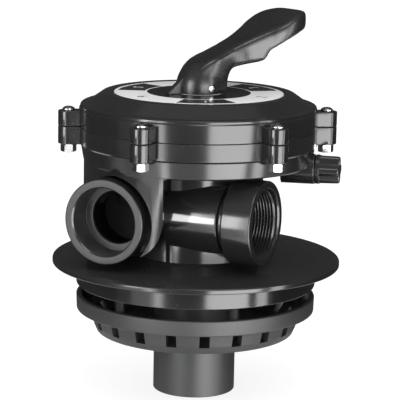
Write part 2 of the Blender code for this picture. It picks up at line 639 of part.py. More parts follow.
def build_diffuser(parts, cutters, material):
    """Slotted basket that hangs below the flange on moulded pillars."""
    wall = 3.0
    band_top = BASKET_RING_BOTTOM + 1.6
    ring_inner = BASKET_RING_RADIUS - wall - 1.0
    profile = [
        (BASKET_RING_RADIUS - 0.7, BASKET_RING_TOP), (BASKET_RING_RADIUS, BASKET_RING_TOP - 0.7),
        (BASKET_RING_RADIUS - 0.4, BASKET_RING_BOTTOM + 0.7), (BASKET_RING_RADIUS - 1.1, BASKET_RING_BOTTOM),
        (BASKET_BAND_RADIUS + 1.4, BASKET_RING_BOTTOM - 1.0), (BASKET_BAND_RADIUS, 50.4),
        (BASKET_BAND_RADIUS - 0.9, 48.4), (BASKET_BAND_RADIUS - 3.4, BASKET_FLOOR),
        (PIPE_RADIUS + FIT_GAP, BASKET_FLOOR), (PIPE_RADIUS + FIT_GAP, BASKET_FLOOR + 9.0),
        (PIPE_RADIUS + 3.6, BASKET_FLOOR + 9.0), (PIPE_RADIUS + 3.6, BASKET_FLOOR + wall),
        (BASKET_BAND_RADIUS - wall, BASKET_FLOOR + wall), (BASKET_BAND_RADIUS - wall, band_top),
        (ring_inner, band_top + 2.2), (ring_inner, BASKET_RING_TOP),
    ]
    basket = turned("diffuser_basket", profile, parts, material, 40)
    pillars = []
    for i in range(BASKET_PILLARS):
        azimuth = 44.0 + 360.0 * i / BASKET_PILLARS
        foot = polar(BASKET_PILLAR_CIRCLE, azimuth, band_top - 1.2)
        head = polar(BASKET_PILLAR_CIRCLE, azimuth, SPIGOT_BOTTOM - 0.3)
        pillars.append(bar(f"basket_pillar_{i + 1}", 4.0, foot, head, cutters, sides=10))
    combine(basket, "UNION", pillars)
    slots = []
    half = BASKET_SLOT_WIDTH / 2
    outline = [(BASKET_BAND_RADIUS - 6.0, -half), (BASKET_BAND_RADIUS + 4.0, -half),
               (BASKET_BAND_RADIUS + 4.0, half), (BASKET_BAND_RADIUS - 6.0, half)]
    for i in range(BASKET_SLOTS):
        azimuth = 12.0 + 360.0 * i / BASKET_SLOTS
        slots.append(slab(f"basket_slot_{i + 1}", outline, 51.0, BASKET_RING_BOTTOM - 1.6, cutters,
                          frame=azimuth_frame(azimuth)))
    combine(basket, "DIFFERENCE", slots)


def build_standpipe(parts, material):
    turned("standpipe_socket", [
        (PIPE_RADIUS, PIPE_TOP), (PIPE_RADIUS, 0.7), (PIPE_RADIUS - 0.7, 0.0), (PIPE_BORE + 0.7, 0.0),
        (PIPE_BORE, 0.7), (PIPE_BORE, PIPE_TOP)], parts, material, 36)


def main():
    clear_scene()
    parts = new_collection("selector_valve")
    cutters = new_collection("cutters")
    black = new_material("black_abs", (0.012, 0.013, 0.014), 0.28, 0.0)
    lid_black = new_material("black_abs_lid", (0.010, 0.011, 0.012), 0.22, 0.0)
    lever_black = new_material("black_nylon_lever", (0.016, 0.016, 0.017), 0.34, 0.0)
    grey = new_material("dark_grey_basket", (0.05, 0.052, 0.054), 0.42, 0.0)
    pipe_grey = new_material("grey_pipe", (0.055, 0.057, 0.06), 0.38, 0.0)
    rubber = new_material("black_rubber", (0.008, 0.008, 0.008), 0.75, 0.0)
    nylon = new_material("white_nylon", (0.6, 0.6, 0.57), 0.5, 0.0)
    print_face = new_material("silver_print", (0.62, 0.63, 0.64), 0.25, 0.1)
    steel = new_material("stainless_steel", (0.62, 0.62, 0.6), 0.24, 1.0)

    pivot = azimuth_frame(LEVER_AZIMUTH, LEVER_PIN_HEIGHT)
    build_valve_body(parts, cutters, black)
    build_port_collars(parts, black)
    build_tank_flange(parts, cutters, black)
    build_lid(parts, cutters, lid_black)
    build_seals_and_plates(parts, cutters, rubber, print_face, nylon)
    build_rotor(parts, cutters, nylon, pivot)
    build_spring(parts, steel)
    build_lever(parts, cutters, lever_black, steel, pivot)
    build_fasteners(parts, steel)
    build_plug(parts, cutters, black, rubber)
    build_diffuser(parts, cutters, grey)
    build_standpipe(parts, pipe_grey)


main()
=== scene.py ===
from math import ceil, copysign, cos, degrees, hypot, pi, radians, sin, tan
from types import SimpleNamespace

import bmesh
import bpy
from mathutils import Matrix, Vector


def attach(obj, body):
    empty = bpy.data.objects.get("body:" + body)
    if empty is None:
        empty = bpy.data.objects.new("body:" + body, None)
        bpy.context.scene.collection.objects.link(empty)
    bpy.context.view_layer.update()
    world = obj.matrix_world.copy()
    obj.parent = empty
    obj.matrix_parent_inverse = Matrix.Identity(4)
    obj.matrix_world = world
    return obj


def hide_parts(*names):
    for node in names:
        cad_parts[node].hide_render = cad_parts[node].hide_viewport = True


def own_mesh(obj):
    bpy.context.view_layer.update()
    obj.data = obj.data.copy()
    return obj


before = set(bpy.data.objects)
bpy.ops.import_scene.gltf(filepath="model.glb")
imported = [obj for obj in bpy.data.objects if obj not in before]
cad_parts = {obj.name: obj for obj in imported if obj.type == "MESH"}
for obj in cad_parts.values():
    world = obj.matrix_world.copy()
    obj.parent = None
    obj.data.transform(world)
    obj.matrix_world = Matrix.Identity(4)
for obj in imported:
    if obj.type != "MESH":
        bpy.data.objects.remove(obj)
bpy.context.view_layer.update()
print("frame loaded with", len(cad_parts), "nodes")

# sizes below are millimetres unless a name says otherwise; azimuth runs from -Y towards +X
mm = 0.001
filletStep = 14.0  # degrees between the points of a rounded corner
scene = bpy.context.scene
bench = bpy.data.collections.new("bench")  # holds pieces in the making, removed at the end
scene.collection.children.link(bench)
upright = Matrix.Rotation(pi / 2, 4, "X")  # stands an outline drawn in X and Y up in X and Z


# shared shape helpers

def named(settings):  # a piece's dictionary, read as s.radius
    return SimpleNamespace(**settings)


def polarPoint(radius, azimuth, height):
    turn = radians(azimuth)
    return Vector((radius * sin(turn), -radius * cos(turn), height)) * mm


def facing(azimuth, height=0.0):  # local +X points outwards at the azimuth
    return Matrix.Translation((0, 0, height * mm)) @ Matrix.Rotation(radians(azimuth) - pi / 2, 4, "Z")


def pointing(start, along):  # local +Z runs along a direction
    return Matrix.Translation(start) @ Vector(along).to_track_quat("Z", "Y").to_matrix().to_4x4()


def rounded(points, closed=True):
    # corners are (x, y) or (x, y, fillet radius)
    line = []
    count = len(points)
    for i, corner in enumerate(points):
        here = Vector(corner[:2])
        fillet = corner[2] if len(corner) > 2 else 0.0
        if fillet <= 0 or (not closed and i in (0, count - 1)):
            line.append(tuple(here))
            continue
        before = Vector(points[i - 1][:2]) - here
        after = Vector(points[(i + 1) % count][:2]) - here
        angle = before.angle(after)
        reach = min(fillet / tan(angle / 2), 0.48 * before.length, 0.48 * after.length)
        radius = reach * tan(angle / 2)
        centre = here + (before.normalized() + after.normalized()).normalized() * radius / sin(angle / 2)
        first = here + before.normalized() * reach - centre
        last = here + after.normalized() * reach - centre
        sweep = copysign(pi - angle, first.x * last.y - first.y * last.x)
        steps = max(2, ceil(degrees(pi - angle) / filletStep))
        for k in range(steps + 1):
            turn = sweep * k / steps
            line.append((centre.x + first.x * cos(turn) - first.y * sin(turn),
                         centre.y + first.x * sin(turn) + first.y * cos(turn)))
    return line


def arcPoints(centre, radius, first, last, count):
    turns = [radians(first + (last - first) * i / count) for i in range(count + 1)]
    return [(centre[0] + radius * cos(t), centre[1] + radius * sin(t)) for t in turns]


def newPiece(name, mesh):
    piece = bpy.data.objects.new(name, mesh)
    bench.objects.link(piece)
    return piece


def meshFrom(name, work):
    mesh = bpy.data.meshes.new(name)
    work.to_mesh(mesh)
    work.free()
    return mesh


def gridPiece(name, rows, closeRows=False):
    # rows of points, each row a closed ring; a row of one point is a pole
    work = bmesh.new()
    rings = [[work.verts.new(Vector(p) * mm) for p in row] for row in rows]
    pairs = list(zip(rings, rings[1:] + rings[:1])) if closeRows else list(zip(rings, rings[1:]))
    for one, two in pairs:
        size = max(len(one), len(two))
        for k in range(size):
            j = (k + 1) % size
            corners = [one[k % len(one)], one[j % len(one)], two[j % len(two)], two[k % len(two)]]
            work.faces.new(list(dict.fromkeys(corners)))
    bmesh.ops.recalc_face_normals(work, faces=work.faces)
    return newPiece(name, meshFrom(name, work))


def lathe(name, profile, steps, place=None, dent=None):  # dent says how far a point lies inside its circle
    closed = profile[0][0] > 0 or profile[-1][0] > 0
    turns = [2 * pi * k / steps for k in range(steps)]
    rows = []
    for radius, height in rounded(profile, closed):
        reach = [radius - dent(radius, height, turn) if dent else radius for turn in turns]
        ring = [(r * sin(turn), -r * cos(turn), height) for r, turn in zip(reach, turns)]
        rows.append(ring if radius > 0.0001 else [(0, 0, height)])
    piece = gridPiece(name, rows, closed)
    if place is not None:
        piece.data.transform(place)
    return piece


def prism(name, outline, low, high, place=None, edge=0.0):
    work = bmesh.new()
    floor = work.faces.new([work.verts.new((x * mm, y * mm, low * mm)) for x, y in outline])
    raised = bmesh.ops.extrude_face_region(work, geom=[floor])
    lifted = [v for v in raised["geom"] if isinstance(v, bmesh.types.BMVert)]
    bmesh.ops.translate(work, verts=lifted, vec=(0, 0, (high - low) * mm))
    bmesh.ops.recalc_face_normals(work, faces=work.faces)
    if edge > 0:
        rims = [e for e in work.edges if abs(e.verts[0].co.z - e.verts[1].co.z) < 1e-7]
        bmesh.ops.bevel(work, geom=rims, offset=edge * mm, segments=3, profile=0.5, affect="EDGES")
    mesh = meshFrom(name, work)
    if place is not None:
        mesh.transform(place)
    return newPiece(name, mesh)


def rod(name, radius, start, end, steps):
    along = Vector(end) - Vector(start)
    tall = along.length / mm
    return lathe(name, [(0, tall), (radius, tall), (radius, 0), (0, 0)], steps, pointing(start, along))


def tube(name, s, steps):  # fillets at the outer top, outer foot, inner foot and inner top
    corners = [(s.outer, s.top), (s.outer, s.low), (s.inner, s.low), (s.inner, s.top)]
    return lathe(name, [(*corner, fillet) for corner, fillet in zip(corners, s.fillets)], steps)


def bake(piece):  # evaluated shape as a plain mesh, modifiers gone
    bpy.context.view_layer.update()
    mesh = bpy.data.meshes.new_from_object(piece.evaluated_get(bpy.context.evaluated_depsgraph_get()))
    old = piece.data
    piece.modifiers.clear()
    piece.data = mesh
    bpy.data.meshes.remove(old)
    return piece


def shape(piece, operation, tools):
    for tool in tools:
        step = piece.modifiers.new(tool.name, "BOOLEAN")
        step.operation = operation
        step.solver = "EXACT"
        step.object = tool
    bake(piece)
    for tool in tools:
        bpy.data.objects.remove(tool, do_unlink=True)


def finishPiece(piece, look, body, nodes, sharp=32.0):
    mesh = piece.data
    mesh.materials.clear()
    mesh.materials.append(finish[look])
    mesh.polygons.foreach_set("material_index", [0] * len(mesh.polygons))
    mesh.shade_smooth()
    mesh.set_sharp_from_angle(angle=radians(sharp))
    bench.objects.unlink(piece)
    scene.collection.objects.link(piece)
    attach(piece, body)
    if nodes:
        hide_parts(*nodes)


def paintWithin(piece, look, place, radius, low, high):  # faces inside a cylinder along the place's Z axis
    mesh = piece.data
    if look not in mesh.materials:
        mesh.materials.append(finish[look])
    index = mesh.materials.find(look)
    inward = place.inverted()
    for face in mesh.polygons:
        spot = inward @ face.center / mm
        if hypot(spot.x, spot.y) < radius and low < spot.z < high:
            face.material_index = index


# node helpers

def feed(tree, sockets, values):  # a value is a plain one or another node's output
    for label, value in values.items():
        if isinstance(value, bpy.types.NodeSocket):
            tree.links.new(value, sockets[label])
        else:
            sockets[label].default_value = value


def wired(tree, kind, inputs, output=0, **values):  # new node with its inputs fed; gives one output, or all
    node = tree.nodes.new(kind)
    for key, value in values.items():
        setattr(node, key, value)
    feed(tree, node.inputs, inputs)
    return node.outputs if output is None else node.outputs[output]


def mathNode(tree, operation, *values):
    return wired(tree, "ShaderNodeMath", dict(enumerate(values)), operation=operation)


def groupWith(kind, name, inputs, outputs):
    group = bpy.data.node_groups.new(name, kind)
    for direction, sockets in (("OUTPUT", outputs), ("INPUT", inputs)):
        for label, value in sockets.items():
            group.interface.new_socket(label, in_out=direction, socket_type="NodeSocket" + value)
    return group, group.nodes.new("NodeGroupInput").outputs, group.nodes.new("NodeGroupOutput").inputs


# geometry node trees for what repeats or follows a path

def runTree(name, tree, values):
    piece = newPiece(name, bpy.data.meshes.new(name))
    step = piece.modifiers.new(tree.name, "NODES")
    step.node_group = tree
    for item in tree.interface.items_tree:
        if item.item_type == "SOCKET" and item.in_out == "INPUT" and item.name in values:
            step[item.identifier] = values[item.name]
    return bake(piece)


def makeRingTree():  # copies of one piece turned round the Z axis
    tree, given, result = groupWith("GeometryNodeTree", "ringOfCopies", {
        "Piece": "Object", "Count": "Int", "First Turn": "Float", "Material": "Material"},
        {"Geometry": "Geometry"})
    points = wired(tree, "GeometryNodeMeshLine", {"Count": given["Count"], "Offset": (0, 0, 0)})
    piece = wired(tree, "GeometryNodeObjectInfo", {"Object": given["Piece"]}, "Geometry")
    step = mathNode(tree, "DIVIDE", 2 * pi, given["Count"])
    onwards = mathNode(tree, "MULTIPLY", wired(tree, "GeometryNodeInputIndex", {}), step)
    angle = mathNode(tree, "ADD", onwards, given["First Turn"])
    turn = wired(tree, "ShaderNodeCombineXYZ", {"Z": angle})
    copies = wired(tree, "GeometryNodeInstanceOnPoints", {
        "Points": points, "Instance": piece, "Rotation": turn})
    real = wired(tree, "GeometryNodeRealizeInstances", {"Geometry": copies})
    painted = wired(tree, "GeometryNodeSetMaterial", {"Geometry": real, "Material": given["Material"]})
    feed(tree, result, {"Geometry": painted})
    return tree


def makeHelixTree():  # a ridge wound along a helix, for the port threads and the coil
    tree, given, result = groupWith("GeometryNodeTree", "woundRidge", {
        "Radius": "Float", "Pitch": "Float", "Turns": "Float", "Ridge Height": "Float",
        "Ridge Half Width": "Float", "Ridge Sides": "Int", "Material": "Material"}, {"Geometry": "Geometry"})
    tall = mathNode(tree, "MULTIPLY", given["Turns"], given["Pitch"])
    path = wired(tree, "GeometryNodeCurveSpiral", {
        "Resolution": 72, "Rotations": given["Turns"], "Start Radius": given["Radius"],
        "End Radius": given["Radius"], "Height": tall})
    path = wired(tree, "GeometryNodeSetCurveNormal", {"Curve": path}, mode="Z_UP")
    ridge = wired(tree, "GeometryNodeCurvePrimitiveCircle", {
        "Resolution": given["Ridge Sides"], "Radius": 1.0}, mode="RADIUS")
    size = wired(tree, "ShaderNodeCombineXYZ", {
        "X": given["Ridge Height"], "Y": given["Ridge Half Width"], "Z": 1.0})
    ridge = wired(tree, "GeometryNodeTransform", {"Geometry": ridge, "Scale": size})
    wound = wired(tree, "GeometryNodeCurveToMesh", {
        "Curve": path, "Profile Curve": ridge, "Fill Caps": True})
    painted = wired(tree, "GeometryNodeSetMaterial", {"Geometry": wound, "Material": given["Material"]})
    feed(tree, result, {"Geometry": painted})
    return tree


ringTree = makeRingTree()
helixTree = makeHelixTree()


def ringCopies(name, piece, count, firstAzimuth, material=None):
    values = {"Piece": piece, "Count": count, "First Turn": radians(firstAzimuth)}
    if material is not None:
        values["Material"] = material
    ring = runTree(name, ringTree, values)
    bpy.data.objects.remove(piece, do_unlink=True)
    return ring


print("node trees ready")


# finishes

def noiseOn(tree, coordinates, scale, detail, stretch=None):
    if stretch is not None:
        coordinates = wired(tree, "ShaderNodeMapping", {"Vector": coordinates, "Scale": stretch})
    return wired(tree, "ShaderNodeTexNoise", {
        "Vector": coordinates, "Scale": scale, "Detail": detail}, "Fac")


def spread(tree, value, low, high, first=0.0, last=1.0):  # low to high becomes first to last
    return wired(tree, "ShaderNodeMapRange", {
        "Value": value, "From Min": low, "From Max": high, "To Min": first, "To Max": last}, "Result")


def mixColour(tree, factor, *colours):
    first, second = [(*tone, 1.0) if isinstance(tone, tuple) else tone for tone in colours]
    return wired(tree, "ShaderNodeMix", {"Factor": factor, 6: first, 7: second}, 2, data_type="RGBA")


def objectSpot(tree):  # place on the piece, in its own axes
    return wired(tree, "ShaderNodeTexCoord", {}, "Object")


def plainMaterial(name):
    material = bpy.data.materials.new(name)
    material.use_nodes = True
    return material, material.node_tree, material.node_tree.nodes["Principled BSDF"].inputs


skinLook = {"clouds": (0.3, 0.7), "dustScale": 420.0, "dustSpecks": (0.68, 0.8), "dustPatches": (0.45, 0.75),
            "dustRoughness": 0.2, "dustTone": (0.32, 0.31, 0.29)}
# stretch of the noise along X, Y and Z, and the part of it that makes a mark
rubLook = {"along": ((1.0, 1.0, 24.0), 0.6, 0.75), "across": ((18.0, 1.4, 1.0), 0.62, 0.78)}


def makeMouldedSkin(look):  # flow clouds, fine grain and handling dust of moulded plastic
    group, given, result = groupWith(
        "ShaderNodeTree", "mouldedSkin",
        dict.fromkeys(("Cloud Scale", "Grain Scale", "Low Roughness", "High Roughness"), "Float"),
        dict.fromkeys(("Roughness", "Height", "Tint", "Dust"), "Float"))
    spot = objectSpot(group)
    cloud = noiseOn(group, spot, given["Cloud Scale"], 3.0)
    rough = spread(group, cloud, *look["clouds"], given["Low Roughness"], given["High Roughness"])
    specks = spread(group, noiseOn(group, spot, look["dustScale"], 1.0), *look["dustSpecks"])
    dust = mathNode(group, "MULTIPLY", specks, spread(group, cloud, *look["dustPatches"]))
    dusty = mathNode(group, "MULTIPLY", dust, look["dustRoughness"])
    feed(group, result, {
        "Roughness": mathNode(group, "ADD", rough, dusty), "Dust": dust,
        "Height": noiseOn(group, spot, given["Grain Scale"], 2.0),
        "Tint": spread(group, cloud, *look["clouds"])})
    return group


def makeRubMarks(look):  # fine scratches in two directions
    group, given, result = groupWith(
        "ShaderNodeTree", "rubMarks", {"Scale": "Float", "Amount": "Float"}, {"Marks": "Float"})
    spot = objectSpot(group)
    marks = [spread(group, noiseOn(group, spot, given["Scale"], 2.0, stretch), low, high)
             for stretch, low, high in look.values()]
    both = mathNode(group, "MAXIMUM", *marks)
    feed(group, result, {"Marks": mathNode(group, "MULTIPLY", both, given["Amount"])})
    return group


mouldedSkin = makeMouldedSkin(skinLook)
rubMarks = makeRubMarks(rubLook)

plainLook = {"cloud": 30.0, "grain": 900.0, "rub": 0.3, "rubScale": 60.0, "wear": 0.12, "dust": 0.1,
             "bump": 0.1, "bumpDepth": 0.0002, "specular": 0.5, "metallic": 0.0}


def skinOn(tree, look):
    low, high = look["gloss"]
    return wired(tree, "ShaderNodeGroup", {
        "Cloud Scale": look["cloud"], "Grain Scale": look["grain"], "Low Roughness": low,
        "High Roughness": high}, None, node_tree=mouldedSkin)


def finishFrom(name, changes):  # a finish says only what differs from the plain look
    look = {**plainLook, **changes}
    material, tree, shader = plainMaterial(name)
    skin = skinOn(tree, look)
    marks = wired(tree, "ShaderNodeGroup", {
        "Scale": look["rubScale"], "Amount": look["rub"]}, node_tree=rubMarks)
    tone = mixColour(tree, skin["Tint"], look["colour"], look["paler"])
    dust = mathNode(tree, "MULTIPLY", skin["Dust"], look["dust"])
    worn = mathNode(tree, "MULTIPLY", marks, look["wear"])
    bump = wired(tree, "ShaderNodeBump", {
        "Strength": look["bump"], "Distance": look["bumpDepth"],
        "Height": marks if look["metallic"] else skin["Height"]})
    feed(tree, shader, {
        "Base Color": mixColour(tree, dust, tone, skinLook["dustTone"]), "Metallic": look["metallic"],
        "Roughness": mathNode(tree, "ADD", skin["Roughness"], worn), "Normal": bump,
        "Specular IOR Level": look["specular"]})
    return material


finishLooks = {
    "bodyBlack": {"colour": (0.022, 0.0222, 0.0226), "paler": (0.028, 0.0282, 0.0286), "cloud": 16.0,
                  "grain": 1300.0, "gloss": (0.13, 0.2), "rub": 0.5, "rubScale": 70.0, "bump": 0.05,
                  "specular": 0.63},
    "lidBlack": {"colour": (0.02, 0.0202, 0.0206), "paler": (0.026, 0.0262, 0.0266), "cloud": 20.0,
                 "grain": 1300.0, "gloss": (0.12, 0.19), "rub": 0.5, "rubScale": 80.0, "bump": 0.05,
                 "specular": 0.63},
    "leverBlack": {"colour": (0.017, 0.0172, 0.0175), "paler": (0.023, 0.0232, 0.0235), "cloud": 26.0,
                   "grain": 1100.0, "gloss": (0.22, 0.31), "rub": 0.8, "rubScale": 90.0, "dust": 0.12,
                   "bump": 0.07, "specular": 0.63},
    # near-black matt colour painted inside the port waterways: painted shade
    "borePaintedShade": {"colour": (0.004, 0.004, 0.004), "paler": (0.006, 0.006, 0.006), "gloss": (0.6, 0.7),
                  "dust": 0.05, "specular": 0.1},
    "socketMatt": {"colour": (0.018, 0.019, 0.02), "paler": (0.05, 0.051, 0.052), "cloud": 60.0,
                   "grain": 700.0, "gloss": (0.42, 0.55), "rub": 0.8, "rubScale": 120.0, "dust": 0.15,
                   "bump": 0.2, "specular": 0.6},
    "basketGrey": {"colour": (0.058, 0.06, 0.061), "paler": (0.07, 0.071, 0.072), "cloud": 14.0,
                   "gloss": (0.4, 0.5), "rub": 0.6, "dust": 0.15, "bump": 0.08, "specular": 0.44},
    # near-black colour for the basket pillars: painted shade, as if they stood in the gap's shadow
    "pillarPaintedShade": {"colour": (0.012, 0.012, 0.0125), "paler": (0.018, 0.018, 0.0185), "gloss": (0.5, 0.6),
                    "specular": 0.15},
    "pipeGrey": {"colour": (0.074, 0.076, 0.077), "paler": (0.086, 0.087, 0.088), "cloud": 9.0,
                 "gloss": (0.4, 0.46), "rubScale": 50.0, "dust": 0.08, "bump": 0.06, "specular": 0.4},
    "sealRubber": {"colour": (0.012, 0.012, 0.012), "paler": (0.022, 0.022, 0.022), "cloud": 40.0,
                   "grain": 1500.0, "gloss": (0.55, 0.7), "rubScale": 90.0, "dust": 0.3, "bump": 0.12,
                   "specular": 0.3},
    "nylonWhite": {"colour": (0.62, 0.61, 0.57), "paler": (0.7, 0.69, 0.66), "grain": 1200.0,
                   "gloss": (0.35, 0.45), "rub": 0.4, "rubScale": 90.0, "dust": 0.05, "bump": 0.06,
                   "specular": 0.45},
    "stainless": {"colour": (0.60, 0.60, 0.59), "paler": (0.68, 0.68, 0.67), "cloud": 60.0, "grain": 2000.0,
                  "gloss": (0.16, 0.26), "rub": 1.0, "rubScale": 240.0, "wear": 0.1, "dust": 0.0,
                  "bump": 0.06, "bumpDepth": 0.0001, "metallic": 1.0},
}
finishLooks["dialInk"] = {**finishLooks["leverBlack"], "gloss": (0.3, 0.4)}
finishLooks["dialPale"] = {**finishLooks["nylonWhite"], "gloss": (0.3, 0.4)}
finish = {name: finishFrom(name, look) for name, look in finishLooks.items()}

dialLook = {"darkRadius": 37.5, "ringWidth": 1.3, "border": 58.6, "dullSectors": 3.0, "dullFrom": 0.45,
            "bright": (0.9, 0.9, 0.89), "dull": (0.03, 0.03, 0.031), "dark": (0.012, 0.012, 0.013),
            "cloud": 40.0, "grain": 900.0, "gloss": (0.14, 0.22), "specular": 0.25, "dust": 0.12,
            "dustTone": (0.4, 0.4, 0.38)}


def dialFinish(look):  # dull and bright sectors round a dark disc, with a bright ring and border
    material, tree, shader = plainMaterial("dialFilm")
    across, deep = wired(tree, "ShaderNodeSeparateXYZ", {"Vector": objectSpot(tree)}, None)[:2]
    squares = [mathNode(tree, "MULTIPLY", axis, axis) for axis in (across, deep)]
    far = mathNode(tree, "SQRT", mathNode(tree, "ADD", *squares))
    azimuth = mathNode(tree, "ARCTAN2", across, mathNode(tree, "MULTIPLY", deep, -1.0))
    wave = mathNode(tree, "SINE", mathNode(tree, "MULTIPLY", azimuth, look["dullSectors"]))
    dullSector = mathNode(tree, "GREATER_THAN", wave, look["dullFrom"])
    edge = look["darkRadius"]
    inside = mathNode(tree, "LESS_THAN", far, edge * mm)
    outside = mathNode(tree, "GREATER_THAN", far, edge * mm)
    withinRing = mathNode(tree, "LESS_THAN", far, (edge + look["ringWidth"]) * mm)
    onRing = mathNode(tree, "MULTIPLY", withinRing, outside)
    atBorder = mathNode(tree, "GREATER_THAN", far, look["border"] * mm)
    tone = mixColour(tree, dullSector, look["bright"], look["dull"])
    tone = mixColour(tree, mathNode(tree, "MAXIMUM", onRing, atBorder), tone, look["bright"])
    tone = mixColour(tree, inside, tone, look["dark"])
    skin = skinOn(tree, look)
    dust = mathNode(tree, "MULTIPLY", skin["Dust"], look["dust"])
    feed(tree, shader, {
        "Base Color": mixColour(tree, dust, tone, look["dustTone"]), "Roughness": skin["Roughness"],
        "Specular IOR Level": look["specular"]})
    return material


finish["dialFilm"] = dialFinish(dialLook)
print("finishes ready:", len(finish))


# valve body with its block, port tubes and lugs; flange and port collars are pieces of their own

bodyShape = {"neckRadius": 48.0, "neckFoot": 104.05, "chamberRadius": 82.6, "chamberBore": 78.0,
             "chamberFoot": 170.2, "seat": 174.0, "rim": 195.85, "rimRadius": 86.2, "rimFoot": 183.6,
             "groove": (79.9, 83.7, 2.7), "window": (14.0, 50.0, 4.0, 56.0), "windows": 6, "bore": 17.0,
             "bossRoot": 62.0, "steps": 180}
# inner and outer radius, first and last azimuth, foot and top of each way inside the body
waterways = {
    "returnPocket": (24.0, 44.0, 6.0, 54.0, 124.0, 169.0),
    "wastePocket": (24.0, 44.0, 186.0, 234.0, 124.0, 169.0),
    "tankTopPocket": (28.0, 43.5, 76.0, 164.0, 102.05, 169.0),
    "tankBottomPocket": (6.0, 43.5, 252.0, 350.0, 128.0, 169.0),
    "pumpRiser": (59.0, 76.5, -46.0, -10.0, 142.0, 176.0),
}
portShape = {"height": 136.2, "collar": 30.3, "collarLength": 22.6, "stub": 21.6, "stubLength": 4.9,
             "tube": 24.8, "socket": 24.0, "socketDepth": 20.4, "dish": 8.0, "fit": 0.2, "steps": 96}
sidePort = {"reach": 68.4, "waterway": 17.5, "depth": 58.0, "threaded": True}
ports = {
    "pump": {"axis": (-33, 0), "outward": (0, -1, 0), "reach": 84.8, "waterway": 19.0, "depth": 40.0,
             "threaded": False},
    "return": {"axis": (0, -33), "outward": (1, 0, 0), **sidePort},
    "waste": {"axis": (0, 33), "outward": (-1, 0, 0), **sidePort},
}
blockShape = {"edge": 12.0, "foot": 111.0, "sweep": 30.0, "fillet": 5.0, "slant": 0.4, "front": 86.6,
              "back": 4.0, "rimEdge": 1.1}
collarClearance = {"axis": (-28.5, 136.2), "radius": 32.2, "front": -90.0, "back": -66.0}
lugShape = {"count": 6, "circle": 93.7, "radius": 7.6, "root": 83.3, "foot": 183.0, "top": 207.0,
            "hole": 3.4}
plugSeat = {"azimuth": 104.0, "height": 168.4, "radius": 10.9, "face": 84.0, "rim": 86.2, "rimBore": 8.4,
            "hole": 5.4, "holeEnd": 72.0}


def plugPlace():  # on the valve's axis at the plug's height, local +Z towards the plug
    return facing(plugSeat["azimuth"], plugSeat["height"]) @ Matrix.Rotation(pi / 2, 4, "Y")


def portPlace(port):  # at the middle of the port's face, local +Z outwards
    outward = Vector(port["outward"])
    return pointing((Vector((*port["axis"], portShape["height"])) + outward * port["reach"]) * mm, outward)


def portHollow(name, port):  # room for the collar, and the waterway behind it
    s = named(portShape)
    wide = s.collar + s.fit
    back = -s.collarLength - s.fit
    deep = -port["depth"]
    line = [(0, 3), (wide, 3), (wide, back), (port["waterway"], back), (port["waterway"], deep),
            (0, deep - s.dish)]
    return lathe(name, line, s.steps, portPlace(port))


def portTube(name, port):  # tube with the short stub that meets the collar
    s = named(portShape)
    front = 0.5 - s.collarLength
    step = -s.collarLength - s.stubLength
    line = [(0, front), (s.stub, front), (s.stub, step, 0.6), (s.tube, step, 1.2), (s.tube, -port["reach"]),
            (0, -port["reach"])]
    return lathe(name, line, s.steps, portPlace(port))


def buildCollar(name, port, node):
    s = named(portShape)
    back = -s.collarLength
    line = [(s.collar, 0, 1.1), (s.collar, back, 1.8), (port["waterway"], back),
            (port["waterway"], -s.socketDepth, 0.9), (s.socket, -s.socketDepth, 0.3),
            (s.socket, -1.2, 0.6), (s.socket + 1.1, 0, 0.5)]
    collar = lathe(name, line, s.steps, portPlace(port))
    finishPiece(collar, "bodyBlack", "housing", [node])
    if not port["threaded"]:  # turned face and socket wall
        paintWithin(collar, "socketMatt", portPlace(port), s.socket + 0.5, back, 1.0)
        paintWithin(collar, "socketMatt", portPlace(port), s.collar, -0.2, 1.0)


def lugRing(name, low, high, edge):
    s = named(lugShape)
    outline = [(s.root, -s.radius)]
    outline += arcPoints((s.circle, 0), s.radius, -90, 90, 20)
    outline += [(s.root, s.radius)]
    post = prism(name + "Post", outline, low, high, facing(0.0), edge)
    start, end = [polarPoint(s.circle, 0, height) for height in (low - 2, high + 2)]
    hole = rod(name + "Hole", s.hole, start, end, 24)
    posts = ringCopies(name + "Posts", post, s.count, 0.0)
    holes = ringCopies(name + "Holes", hole, s.count, 0.0)
    return posts, holes


def pieSlice(name, inner, outer, first, last, low, high):
    far = arcPoints((0, 0), outer, first - 90, last - 90, 12)
    near = arcPoints((0, 0), inner, last - 90, first - 90, 8)
    return prism(name, far + near, low, high)


def pumpBlock():  # slanted quarter under the chamber, trimmed to the chamber's round wall
    s = named(bodyShape)
    b = named(blockShape)
    top = s.chamberFoot + 0.8
    outline = [(-b.front, top), (-b.front, b.foot)]
    outline += arcPoints((b.edge - b.sweep, b.foot + b.sweep), b.sweep, -90, 0, 24)
    outline += arcPoints((b.edge + b.fillet, top - b.fillet), b.fillet, 180, 100, 8)
    outline += [(b.edge + b.fillet, top)]
    slant = Matrix.Identity(4)
    slant[0][2] = b.slant
    slant[0][3] = -b.slant * s.chamberRadius * mm
    block = prism("pumpBlock", outline, b.back, b.front, upright @ slant)
    barrel = rod("blockBarrel", s.chamberRadius, (0, 0, 0.1), (0, 0, 0.19), s.steps)
    shape(block, "INTERSECT", [barrel])
    rimEdges(block, b.rimEdge, s.chamberRadius)
    return block


